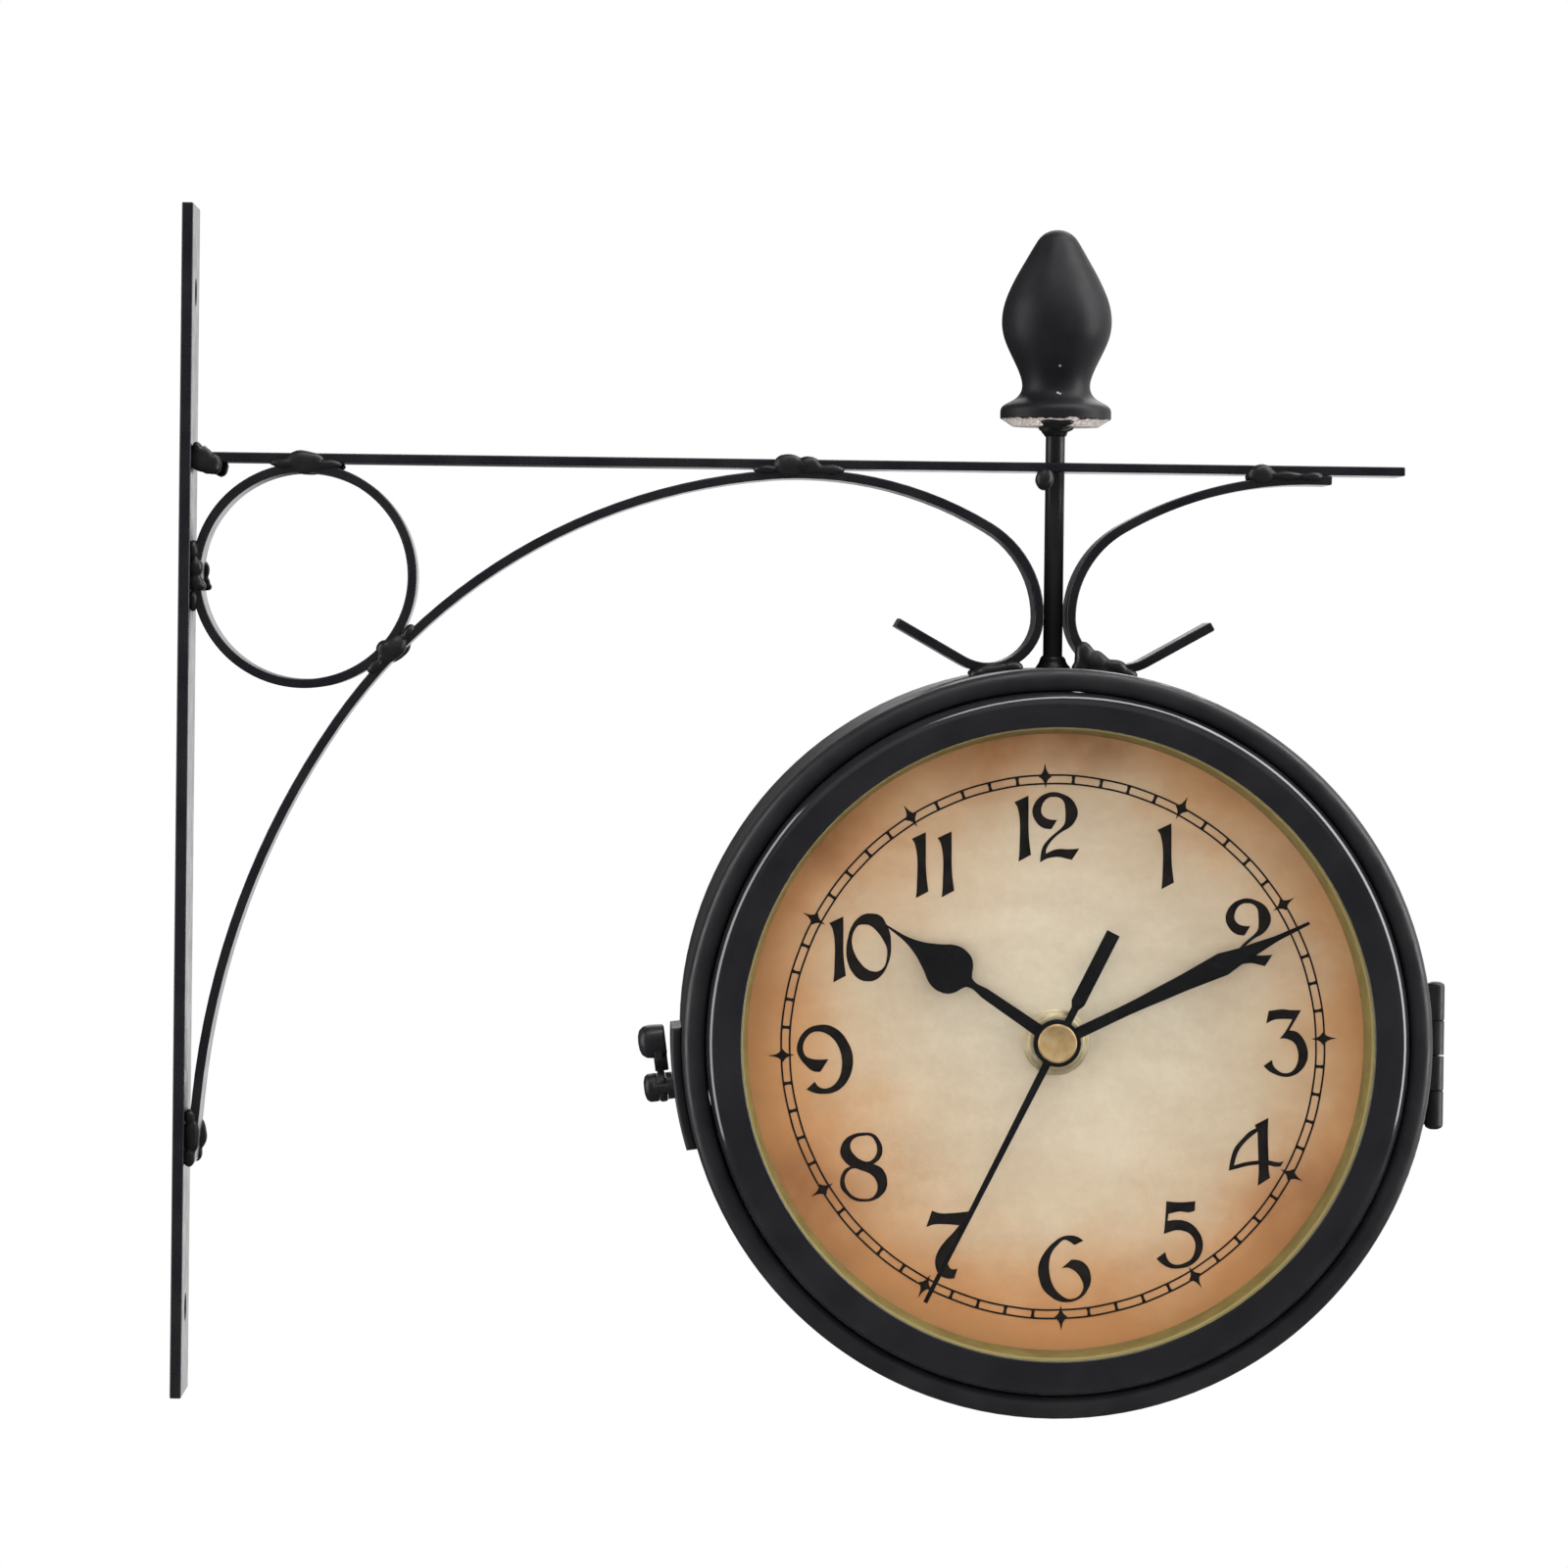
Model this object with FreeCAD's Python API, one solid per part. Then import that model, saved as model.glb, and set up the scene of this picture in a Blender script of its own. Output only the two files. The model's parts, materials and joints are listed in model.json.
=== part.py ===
import FreeCAD, Part
import math
import os

# Double-sided wall clock: a drum with a dial on each face, hung under a wrought bracket.
# Millimetres and degrees. X runs out from the wall, Y from the front dial to the rear one, Z up.
# The origin is on the wall, midway between the two screw holes.

# Bracket strips
bar_height = 220.0
bar_width = 20.0
bar_thickness = 2.1
screw_inset = 16.0
screw_hole_radius = 2.65
strip_width = 14.0
strip_thickness = 1.7
edge_round = 0.3
arm_height = 63.5
arm_overhang = 64.4
brace_foot = 12.0
upright = 90.0
brace_lean = 5.4
brace_lower_radius = 148.7
brace_bend_angle = 55.9
brace_upper_radius = 107.4
crest_angle = 4.8
shoulder_radius = 68.0
shoulder_angle = 30.5
neck_radius = 19.1
curl_radius = 9.4
curl_angle = 119.5
flick_length = 14.0
tail_length = 4.0
weld_gap = 0.1
bead_radius = 1.9

# Post and finial
post_radius = 1.8
post_clearance = 0.3
post_fit = 0.05
finial_lift = 6.8
finial_height = 36.5
finial_belly_radius = 10.2
finial_base_radius = 10.3
finial_foot_radius = 8.0
finial_foot_height = 1.5
finial_base_thickness = 1.2
finial_bore_depth = 10.0
finial_shares = [
    (0.98, 0.0986), (0.873, 0.1205), (0.735, 0.1425), (0.637, 0.178), (0.618, 0.211), (0.647, 0.252),
    (0.745, 0.318), (0.873, 0.392), (0.971, 0.466), (1.0, 0.529), (0.956, 0.622), (0.833, 0.712),
    (0.691, 0.789), (0.539, 0.863), (0.395, 0.932), (0.315, 0.963), (0.215, 0.985), (0.105, 0.997),
]

# Case halves
case_radius = 68.2
case_wall = 1.0
face_offset = 33.0
split_offset = 8.0
split_gap = 0.3
rim_radius = 2.1
rim_setback = 1.5
collar_length = 6.0
lip_length = 2.0
lip_root = 3.0
lip_gap = 0.4

# Bezel, glass, spacer ring, dial and retaining ring, stacked inside the bezel's skirt
bezel_wall = 1.0
bezel_round = 1.6
bezel_fit = 0.1
bezel_face_width = 6.4
bezel_depth = 13.5
stack_gap = 0.1
stack_fit = 0.2
glass_thickness = 2.0
spacer_depth = 6.8
spacer_wall = 1.0
spacer_inset = 0.2
spacer_draft = 1.0
dial_thickness = 0.8
retainer_thickness = 2.0
retainer_width = 2.0
retainer_mouth_angle = 12.0

# Hinge
hinge_length = 26.0
hinge_drop = 2.6
hinge_knuckles = 4
hinge_barrel_radius = 1.7
hinge_pin_radius = 0.8
hinge_fit = 0.05
hinge_standoff = 3.0
hinge_knuckle_gap = 0.3
hinge_leaf_width = 9.0
hinge_leaf_thickness = 1.0

# Latch, built on the left of the drum and then turned down to its place
latch_angle = 8.0
latch_plate_height = 22.6
latch_plate_width = 12.0
latch_plate_thickness = 2.0
pivot_setback = 2.8
pivot_base_radius = 2.5
pivot_base_length = 1.2
pivot_neck_radius = 1.5
pivot_head_radius = 2.55
pivot_head_length = 1.6
hook_thickness = 1.3
hook_play = 0.15
hook_fit = 0.05
hook_half_width = 2.5
knob_reach = 8.5
knob_radius = 2.8
knob_length = 1.8
knob_back_length = 0.9
keeper_reach = 4.05
keeper_neck_radius = 0.9
keeper_head_radius = 1.15
keeper_head_length = 0.9
keeper_play = 0.5

# Movement box
box_width = 56.0
box_depth = 14.8
box_wall = 1.2
bay_wall_drop = 11.0
stem_radius = 4.0
stem_clearance = 0.1
nut_thickness = 2.0
nut_corner_radius = 6.0
cover_thickness = 1.2
battery_radius = 7.1
battery_length = 49.0
battery_tip_radius = 2.7
battery_tip_length = 1.5
contact_thickness = 0.4
contact_height = 10.0
board_width = 34.0
board_height = 9.0
board_thickness = 1.0
board_rise = 20.5
coil_radius = 3.6
coil_length = 20.0
coil_flange_radius = 4.3
coil_flange_thickness = 1.0

# Wheel train: arbors, tubes and teeth
arbor_fit = 0.05
second_arbor_radius = 0.5
minute_tube_radius = 1.7
hour_tube_radius = 2.5
third_arbor_radius = 0.4
setting_arbor_radius = 1.2
setting_knob_radius = 5.0
setting_knob_length = 3.2
setting_knob_gap = 0.4
train_module = 0.25
motion_module = 0.42
pressure_angle = 25.0
addendum_share = 0.6
dedendum_share = 0.9
backlash_share = 0.16
second_pinion_teeth = 8
third_wheel_teeth = 60
third_pinion_teeth = 8
minute_wheel_teeth = 64
minute_pinion_teeth = 12
setting_wheel_teeth = 36
setting_pinion_teeth = 10
hour_wheel_teeth = 40
second_wheel_teeth = 30
wheel_thickness = 1.0
wheel_gap = 0.5

# Hands, from the dial outwards; each ends a margin short of the ring round the dial
hand_thickness = 0.4
hand_gap = 0.5
hand_hub_radius = 4.35
tube_proud = 0.1
hour_angle = 303.9
hour_margin = 18.6
hour_shaft_width = 2.2
hour_bulb_radius = 4.8
hour_bulb_share = 0.645
hour_tip_width = 5.4
minute_angle = 63.9
minute_margin = 5.4
minute_width = 4.3
minute_shares = [(0.5, 0.0), (0.52, 0.32), (1.0, 0.66), (0.6, 0.75), (0.26, 0.87), (0.14, 1.0)]
second_angle = 206.3
second_margin = 3.4
second_tail_length = 22.5
second_tail_width = 2.6
second_tail_neck_length = 7.5
second_needle_width = 1.5
second_tip_width = 0.8
cap_radius = 3.55
cap_height = 0.9

Vector = FreeCAD.Vector
along_y = Vector(0, 1, 0)
nodes = {}


# Shapes

def turned(moves):
    """A solid of revolution about Y. A move is an (r, y) point, or an arc's middle and end points."""
    face = outline(moves, lambda r, y: Vector(r, y, 0))
    return face.revolve(Vector(0, 0, 0), along_y, 360)


def prism(moves, y0, y1):
    """A solid on an outline of (x, z) points and arcs, from y0 to y1."""
    face = outline(moves, lambda x, z: Vector(x, y0, z))
    return face.extrude(Vector(0, y1 - y0, 0))


def outline(moves, place):
    edges = []
    last = moves[0]
    for move in moves[1:] + moves[:1]:
        if isinstance(move[0], tuple):
            middle, end = move
            edges.append(Part.Arc(place(*last), place(*middle), place(*end)).toShape())
            last = end
        else:
            edges.append(Part.makeLine(place(*last), place(*move)))
            last = move
    return Part.Face(Part.Wire(edges))


def disc(radius, y0, y1, x=0, z=0):
    return Part.makeCylinder(radius, y1 - y0, Vector(x, y0, z), along_y)


def tube(outer, inner, y0, y1, x=0, z=0):
    return disc(outer, y0, y1, x, z).cut(disc(inner, y0, y1, x, z))


def block(x0, x1, y0, y1, z0, z1):
    return Part.makeBox(x1 - x0, y1 - y0, z1 - z0, Vector(x0, y0, z0))


def fused(shapes):
    return shapes[0].multiFuse(shapes[1:]).removeSplitter()


def turned_by(shape, angle, axis=along_y):
    copy = shape.copy()
    copy.rotate(Vector(0, 0, 0), axis, angle)
    return copy


def moved(shape, x, y, z):
    copy = shape.copy()
    copy.translate(Vector(x, y, z))
    return copy


def rounded_strip(shape, radius):
    """Rounds the long edges of a strip, which lie in its two flat sides."""
    long_edges = [edge for edge in shape.Edges if edge.BoundBox.YLength < radius / 2]
    return shape.makeFillet(radius, long_edges)


# Bracket

def along(spot, radius, amount, share=1.0):
    """Where a strip's centre line is, and heads, after a share of one move: an arc's turn or a length."""
    x, z, heading = spot
    angle = math.radians(heading)
    if not radius:
        run = amount * share
        return x + run * math.cos(angle), z + run * math.sin(angle), heading
    ahead = math.radians(heading - amount * share)
    x += radius * (math.sin(angle) - math.sin(ahead))
    z += radius * (math.cos(ahead) - math.cos(angle))
    return x, z, heading - amount * share


def walk(spot, moves):
    spots = [spot]
    for radius, amount in moves:
        spots.append(along(spots[-1], radius, amount))
    return spots


def beside(spot, offset):
    x, z, heading = spot
    angle = math.radians(heading)
    return Vector(x - offset * math.sin(angle), -strip_width / 2, z + offset * math.cos(angle))


def strip(spot, moves):
    """A flat strip bent on edge along its moves, each a radius with a turn, or 0 with a length."""
    sides = {strip_thickness / 2: [], -strip_thickness / 2: []}
    spots = walk(spot, moves)
    for spot, (radius, amount) in zip(spots, moves):
        stops = [along(spot, radius, amount, share) for share in (0.0, 0.5, 1.0)]
        for offset, edges in sides.items():
            start, middle, end = [beside(stop, offset) for stop in stops]
            if radius:
                edges.append(Part.Arc(start, middle, end).toShape())
            else:
                edges.append(Part.makeLine(start, end))
    caps = [Part.makeLine(*[beside(end, offset) for offset in sides]) for end in (spots[0], spots[-1])]
    edges = sum(sides.values(), caps)
    face = Part.Face(Part.Wire(Part.__sortEdges__(edges)))
    return rounded_strip(face.extrude(Vector(0, strip_width, 0)), edge_round)


half_strip = strip_thickness / 2
arm_top = arm_height + half_strip
arm_under = arm_height - half_strip
crest_height = arm_under - weld_gap - half_strip

# The brace leaves the bar at a slight lean, bends over in two arcs and touches the arm at its crest.
# Each scroll runs down from the crest to the post, curls over the drum and ends in a flick.
brace_moves = [
    (0, brace_foot),
    (brace_lower_radius, upright - brace_lean - brace_bend_angle),
    (brace_upper_radius, brace_bend_angle - crest_angle),
    (shoulder_radius, crest_angle),
]
scroll_moves = [
    (shoulder_radius, shoulder_angle),
    (neck_radius, upright - shoulder_angle),
    (curl_radius, curl_angle),
    (0, flick_length),
]
foot_x = bar_thickness + weld_gap + half_strip * math.cos(math.radians(brace_lean))
rise = walk((foot_x, 0, upright - brace_lean), brace_moves)[-1][1]
brace_start = (foot_x, crest_height - rise, upright - brace_lean)
brace_spots = walk(brace_start, brace_moves)
crest = brace_spots[-1]
curl = walk(crest, scroll_moves[:2])[-1]
curl_x = curl[0] - curl_radius
curl_z = curl[1]

post_x = curl[0] + half_strip + post_clearance + post_radius
seat_reach = case_radius + weld_gap + half_strip + curl_radius
drum_z = curl_z - math.sqrt(seat_reach**2 - (post_x - curl_x) ** 2)
drum_top = drum_z + case_radius

bar = block(0, bar_thickness, -bar_width / 2, bar_width / 2, -bar_height / 2, bar_height / 2)
bar = bar.makeFillet(edge_round, bar.Edges)
screw_spacing = bar_height - 2 * screw_inset
for side in (-1, 1):
    centre = Vector(0, 0, side * screw_spacing / 2)
    bar = bar.cut(Part.makeCylinder(screw_hole_radius, bar_thickness, centre, Vector(1, 0, 0)))
nodes["wall_bar"] = bar

arm = strip((bar_thickness, arm_height, 0), [(0, post_x + arm_overhang - bar_thickness)])
post_hole = Part.makeCylinder(post_radius + post_fit, strip_thickness, Vector(post_x, 0, arm_under))
nodes["arm_bar"] = arm.cut(post_hole)

# The ring touches the bar, the arm and the back of the brace's upper arc.
bend_x, bend_z, bend_heading = brace_spots[2]
brace_x = bend_x + brace_upper_radius * math.sin(math.radians(bend_heading))
brace_z = bend_z - brace_upper_radius * math.cos(math.radians(bend_heading))
across = brace_x - bar_thickness
upward = arm_under - brace_z
round_brace = brace_upper_radius + half_strip
reach = across + upward + round_brace
corner_radius = reach - math.sqrt(reach**2 - (across**2 + upward**2 - round_brace**2))
ring_x = bar_thickness + corner_radius
ring_z = arm_under - corner_radius
ring_radius = corner_radius - weld_gap
ring = tube(ring_radius, ring_radius - strip_thickness, -strip_width / 2, strip_width / 2, ring_x, ring_z)
ring_edges = [edge for edge in ring.Edges if edge.BoundBox.YLength < edge_round / 2]
nodes["corner_ring"] = ring.makeFillet(edge_round, ring_edges)

nodes["brace_scroll"] = strip(brace_start, brace_moves + scroll_moves)
tail_start = (crest[0] - tail_length, crest[1], 0)
scroll = strip(tail_start, [(0, tail_length)] + scroll_moves)
nodes["end_scroll"] = scroll.mirror(Vector(post_x, 0, 0), Vector(1, 0, 0))

finial_base = arm_top + finial_lift
post_foot = drum_top + weld_gap
post_length = finial_base + finial_bore_depth - post_foot
nodes["post"] = Part.makeCylinder(post_radius, post_length, Vector(post_x, 0, post_foot))


def finial():
    """A cast acorn: a dished foot, a rounded base, a cove, a round belly and a blunt tip."""
    top = Vector(0, 0, finial_height)
    edge = Vector(finial_base_radius, 0, finial_foot_height + finial_base_thickness)
    curve = Part.BSplineCurve()
    waist = [Vector(r * finial_belly_radius, 0, z * finial_height) for r, z in finial_shares]
    curve.interpolate([edge] + waist + [top])
    rim = Vector(finial_base_radius, 0, finial_foot_height)
    foot = Vector(finial_foot_radius, 0, 0)
    middle = Vector(0, 0, 0)
    corners = [top, middle, foot, rim, edge]
    lines = [Part.makeLine(start, end) for start, end in zip(corners, corners[1:])]
    face = Part.Face(Part.Wire(lines + [curve.toShape()]))
    solid = face.revolve(middle, Vector(0, 0, 1), 360)
    solid = Part.Solid(solid.Shells[0]) if solid.ShapeType != "Solid" else solid
    bore = Part.makeCylinder(post_radius + post_fit, finial_bore_depth + post_fit)
    return moved(solid.cut(bore), post_x, 0, finial_base)


nodes["finial"] = finial()


def beads():
    """Tack welds on both edges of each joint in the bracket, and in the seams on the drum."""
    lean = math.atan2(brace_z - ring_z, brace_x - ring_x)
    tacks = [
        (bar_thickness, arm_under),
        (bar_thickness, ring_z),
        (ring_x, arm_under),
        (ring_x + corner_radius * math.cos(lean), ring_z + corner_radius * math.sin(lean)),
        (bar_thickness, brace_start[1] + bead_radius),
        (crest[0], arm_under),
        (2 * post_x - crest[0], arm_under),
    ]
    edge = strip_width / 2
    wide = block(0, post_x + arm_overhang, -edge, edge, -bar_height / 2, bar_height / 2)
    spots = [Vector(x, side * edge, z) for x, z in tacks for side in (-1, 1)]
    lumps = [Part.makeSphere(bead_radius, spot).cut(wide) for spot in spots]
    seam = math.degrees(math.atan2(post_x - curl_x, curl_z - drum_z))
    step = math.degrees((bead_radius + strip_thickness) / case_radius)
    for angle in (-seam - step, -seam + step, seam - step, seam + step):
        x = post_x + case_radius * math.sin(math.radians(angle))
        z = drum_z + case_radius * math.cos(math.radians(angle))
        lumps.append(disc(bead_radius, -edge + bead_radius, edge - bead_radius, x, z))
    collar = Part.makeCone(post_radius + bead_radius, post_radius, bead_radius, Vector(post_x, 0, drum_top))
    lumps.append(collar)
    lumps.append(Part.makeSphere(bead_radius, Vector(post_x - post_radius, 0, arm_under)))
    names = ("wall_bar", "arm_bar", "corner_ring", "brace_scroll", "end_scroll", "post")
    steel = [nodes[name] for name in names]
    drum = disc(case_radius, -split_offset, face_offset, post_x, drum_z)
    trimmed = [lump.cut(steel + [drum]) for lump in lumps]
    return Part.makeCompound([max(lump.Solids, key=lambda solid: solid.Volume) for lump in trimmed])


nodes["weld_beads"] = beads()


# Case, built around its own axis with the dial facing -Y

bezel_outer = case_radius - 2 * rim_radius - bezel_fit
bezel_inner = bezel_outer - bezel_wall
bezel_opening_radius = bezel_outer - bezel_face_width
spacer_front_radius = bezel_opening_radius - spacer_inset
spacer_rear_radius = spacer_front_radius - spacer_draft
stack_radius = bezel_inner - stack_fit
glass_front = bezel_wall - face_offset + stack_gap
spacer_front = glass_front + glass_thickness + stack_gap
dial_front = spacer_front + spacer_depth + stack_gap
dial_back = dial_front + dial_thickness
retainer_front = dial_back + stack_gap
box_front = dial_back + stack_gap


def case_half(split, lip):
    """A rolled drum half: outer wall, round rim and the collar that takes the bezel."""
    rim_y = rim_setback + rim_radius - face_offset
    rim_r = case_radius - rim_radius
    hollow = rim_radius - case_wall
    collar_back = rim_y + collar_length
    inner = case_radius - case_wall
    section = [
        (case_radius, split),
        (case_radius, rim_y),
        ((rim_r, rim_y - rim_radius), (rim_r - rim_radius, rim_y)),
        (rim_r - rim_radius, collar_back),
        (rim_r - hollow, collar_back),
        (rim_r - hollow, rim_y),
        ((rim_r, rim_y - hollow), (inner, rim_y)),
    ]
    if not lip:
        return turned(section + [(inner, split)])
    lip_outer = inner - lip_gap
    lip_inner = lip_outer - case_wall
    step = [
        (inner, split - lip_root),
        (lip_inner, split - lip_root),
        (lip_inner, split + lip_length),
        (lip_outer, split + lip_length),
        (lip_outer, split),
    ]
    return turned(section + step)


def bezel():
    bend = bezel_round * math.sqrt(0.5)
    corner = (bezel_outer - bezel_round + bend, bezel_round - bend - face_offset)
    back = bezel_depth - face_offset
    return turned([
        (bezel_opening_radius, bezel_wall - face_offset),
        (bezel_opening_radius, -face_offset),
        (bezel_outer - bezel_round, -face_offset),
        (corner, (bezel_outer, bezel_round - face_offset)),
        (bezel_outer, back),
        (bezel_inner, back),
        (bezel_inner, bezel_wall - face_offset),
    ])


def spacer_ring():
    """A channel with a conical inner wall, open to the dial."""
    back = spacer_front + spacer_depth
    return turned([
        (spacer_front_radius, spacer_front),
        (stack_radius, spacer_front),
        (stack_radius, back),
        (stack_radius - spacer_wall, back),
        (stack_radius - spacer_wall, spacer_front + spacer_wall),
        (spacer_front_radius + spacer_wall, spacer_front + spacer_wall),
        (spacer_rear_radius + spacer_wall, back),
        (spacer_rear_radius, back),
    ])


def retaining_ring():
    back = retainer_front + retainer_thickness
    ring = tube(stack_radius, stack_radius - retainer_width, retainer_front, back)
    mouth = stack_radius * math.tan(math.radians(retainer_mouth_angle / 2))
    return ring.cut(block(-mouth, mouth, retainer_front, back, -stack_radius, 0))


def dial():
    hole = stem_radius + stem_clearance
    return tube(stack_radius, hole, dial_front, dial_back)


# Movement, in the same frame as the case half that carries it

def gear(teeth, module, y0, y1, phase):
    """A spur wheel with a tooth's middle at the phase angle, counted from X towards Z."""
    pitch = teeth * module / 2
    base = pitch * math.cos(math.radians(pressure_angle))
    tip = pitch + addendum_share * module
    root = pitch - dedendum_share * module
    half_tooth = math.pi / (2 * teeth) * (1 - backlash_share)

    def flank(radius):
        """Half the tooth's angle at a radius on its involute, or at its base circle below that."""
        spread = math.acos(min(base / radius, 1))
        at_pitch = math.radians(pressure_angle)
        return half_tooth + math.tan(at_pitch) - at_pitch - math.tan(spread) + spread

    stops = [root, pitch, tip]
    sides = [(-flank(r), r) for r in stops] + [(flank(r), r) for r in reversed(stops)]
    points = []
    for tooth in range(teeth):
        middle = math.radians(phase) + 2 * math.pi * tooth / teeth
        points += [(r * math.cos(middle + turn), r * math.sin(middle + turn)) for turn, r in sides]
    return prism(points, y0, y1)


def meshed(teeth, module, y0, y1, direction):
    """A wheel whose gap faces a tooth on the wheel that lies in that direction."""
    return gear(teeth, module, y0, y1, direction + 180 / teeth)


third_distance = (third_pinion_teeth + minute_wheel_teeth) * train_module / 2
second_module = 2 * third_distance / (second_pinion_teeth + third_wheel_teeth)
setting_distance = (minute_pinion_teeth + setting_wheel_teeth) * motion_module / 2
hour_module = 2 * setting_distance / (setting_pinion_teeth + hour_wheel_teeth)

# Layers of the train, from the box's front wall to its cover
inner_front = box_front + box_wall
hour_layer = inner_front + 2 * wheel_gap
setting_layer = hour_layer + wheel_thickness + wheel_gap
minute_layer = setting_layer + wheel_thickness + wheel_gap
second_pinion_layer = minute_layer + wheel_thickness + wheel_gap
third_layer = second_pinion_layer + wheel_gap
second_layer = third_layer + wheel_thickness + wheel_gap + wheel_gap
box_back = box_front + box_depth
cover_back = box_back + cover_thickness

# Hands and tubes, from the nut outwards
hour_length = spacer_rear_radius - hour_margin
hour_bulb_reach = hour_bulb_share * hour_length
minute_length = spacer_rear_radius - minute_margin
second_length = spacer_rear_radius - second_margin
nut_front = dial_front - stack_gap - nut_thickness
hour_hand_back = nut_front - hand_gap
hour_hand_front = hour_hand_back - hand_thickness
minute_hand_back = hour_hand_front - hand_gap
minute_hand_front = minute_hand_back - hand_thickness
second_hand_back = minute_hand_front - hand_gap
second_hand_front = second_hand_back - hand_thickness


def movement_case():
    half = box_width / 2
    inside = half - box_wall
    shelf = -bay_wall_drop
    body = block(-half, half, box_front, box_back, -half, half)
    train_room = block(-inside, inside, inner_front, box_back, shelf, inside)
    battery_bay = block(-inside, inside, inner_front, box_back, -inside, shelf - box_wall)
    stem = disc(stem_radius, nut_front, box_front)
    bore = disc(hour_tube_radius + arbor_fit, nut_front, inner_front)
    third_hole = disc(third_arbor_radius + arbor_fit, box_front, inner_front, -third_distance)
    setting_hole = disc(setting_arbor_radius + arbor_fit, box_front, inner_front, setting_distance)
    return body.cut([train_room, battery_bay]).fuse(stem).cut([bore, third_hole, setting_hole])


def movement_cover():
    half = box_width / 2
    plate = block(-half, half, box_back, cover_back, -bay_wall_drop - box_wall, half)
    holes = [
        (second_arbor_radius, 0),
        (third_arbor_radius, -third_distance),
        (setting_arbor_radius, setting_distance),
    ]
    return plate.cut([disc(radius + arbor_fit, box_back, cover_back, x) for radius, x in holes])


def fixing_nut():
    corners = [math.radians(60 * corner) for corner in range(6)]
    hexagon = [(nut_corner_radius * math.cos(turn), nut_corner_radius * math.sin(turn)) for turn in corners]
    nut = prism(hexagon, nut_front, nut_front + nut_thickness)
    return nut.cut(disc(stem_radius, nut_front, nut_front + nut_thickness))


battery_y = inner_front + battery_radius + stack_gap
battery_z = box_wall + battery_radius + stack_gap - box_width / 2


def battery():
    start = -(battery_length + battery_tip_length) / 2
    along_x = Vector(1, 0, 0)
    can = Part.makeCylinder(battery_radius, battery_length, Vector(start, battery_y, battery_z), along_x)
    tip_at = Vector(start + battery_length, battery_y, battery_z)
    return can.fuse(Part.makeCylinder(battery_tip_radius, battery_tip_length, tip_at, along_x))


def battery_contacts():
    """A spring plate at each end of the bay, with a round boss that bears on the battery."""
    wall = box_width / 2 - box_wall
    battery_end = (battery_length + battery_tip_length) / 2 + stack_gap
    half = contact_height / 2
    contacts = []
    for side in (-1, 1):
        plate_x = side * (wall - contact_thickness / 2)
        plate = block(
            plate_x - contact_thickness / 2, plate_x + contact_thickness / 2,
            battery_y - half, battery_y + half, battery_z - half, battery_z + half,
        )
        boss_at = Vector(side * battery_end, battery_y, battery_z)
        boss = Part.makeCylinder(battery_tip_radius, wall - battery_end, boss_at, Vector(side, 0, 0))
        contacts.append(plate.fuse(boss))
    return Part.makeCompound(contacts)


def motor_board():
    """The circuit board on the box's front wall, and the motor's wound coil on it."""
    board_back = inner_front + board_thickness
    low = board_rise - board_height / 2
    high = board_rise + board_height / 2
    board = block(-board_width / 2, board_width / 2, inner_front, board_back, low, high)
    axis_y = board_back + coil_flange_radius
    along_x = Vector(1, 0, 0)
    start = -coil_length / 2
    winding = Part.makeCylinder(coil_radius, coil_length, Vector(start, axis_y, board_rise), along_x)
    ends = [start, -start - coil_flange_thickness]
    flanges = [
        Part.makeCylinder(coil_flange_radius, coil_flange_thickness, Vector(x, axis_y, board_rise), along_x)
        for x in ends
    ]
    return Part.makeCompound([board, fused([winding] + flanges)])


def hour_wheel():
    wheel = gear(hour_wheel_teeth, hour_module, hour_layer, hour_layer + wheel_thickness, 0)
    pipe = disc(hour_tube_radius, hour_hand_front - tube_proud, hour_layer)
    bore = disc(minute_tube_radius + arbor_fit, hour_hand_front - tube_proud, hour_layer + wheel_thickness)
    return wheel.fuse(pipe).cut(bore)


def minute_wheel():
    pinion = gear(minute_pinion_teeth, motion_module, setting_layer, setting_layer + wheel_thickness, 0)
    wheel_back = minute_layer + wheel_thickness
    wheel = gear(minute_wheel_teeth, train_module, minute_layer, wheel_back, 180)
    front = minute_hand_front - tube_proud
    pipe = disc(minute_tube_radius, front, minute_layer)
    bore = disc(second_arbor_radius + arbor_fit, front, wheel_back)
    return fused([pipe, pinion, wheel]).cut(bore)


def second_wheel():
    arbor = disc(second_arbor_radius, second_hand_front - tube_proud, cover_back)
    pinion_back = third_layer + wheel_thickness + wheel_gap
    pinion = gear(second_pinion_teeth, second_module, second_pinion_layer, pinion_back, 180)
    wheel = gear(second_wheel_teeth, train_module, second_layer, second_layer + wheel_thickness, 0)
    return fused([arbor, pinion, wheel])


def third_wheel():
    arbor = disc(third_arbor_radius, box_front, cover_back)
    pinion = meshed(third_pinion_teeth, train_module, minute_layer, third_layer, 0)
    wheel = meshed(third_wheel_teeth, second_module, third_layer, third_layer + wheel_thickness, 0)
    return moved(fused([arbor, pinion, wheel]), -third_distance, 0, 0)


def setting_wheel():
    arbor = disc(setting_arbor_radius, box_front, cover_back + setting_knob_gap + setting_knob_length / 2)
    pinion = meshed(setting_pinion_teeth, hour_module, hour_layer, setting_layer, 180)
    wheel = meshed(setting_wheel_teeth, motion_module, setting_layer, setting_layer + wheel_thickness, 180)
    return moved(fused([arbor, pinion, wheel]), setting_distance, 0, 0)


def setting_knob():
    front = cover_back + setting_knob_gap
    knob = disc(setting_knob_radius, front, front + setting_knob_length, setting_distance)
    return knob.cut(disc(setting_arbor_radius, front, front + setting_knob_length / 2, setting_distance))


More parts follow.
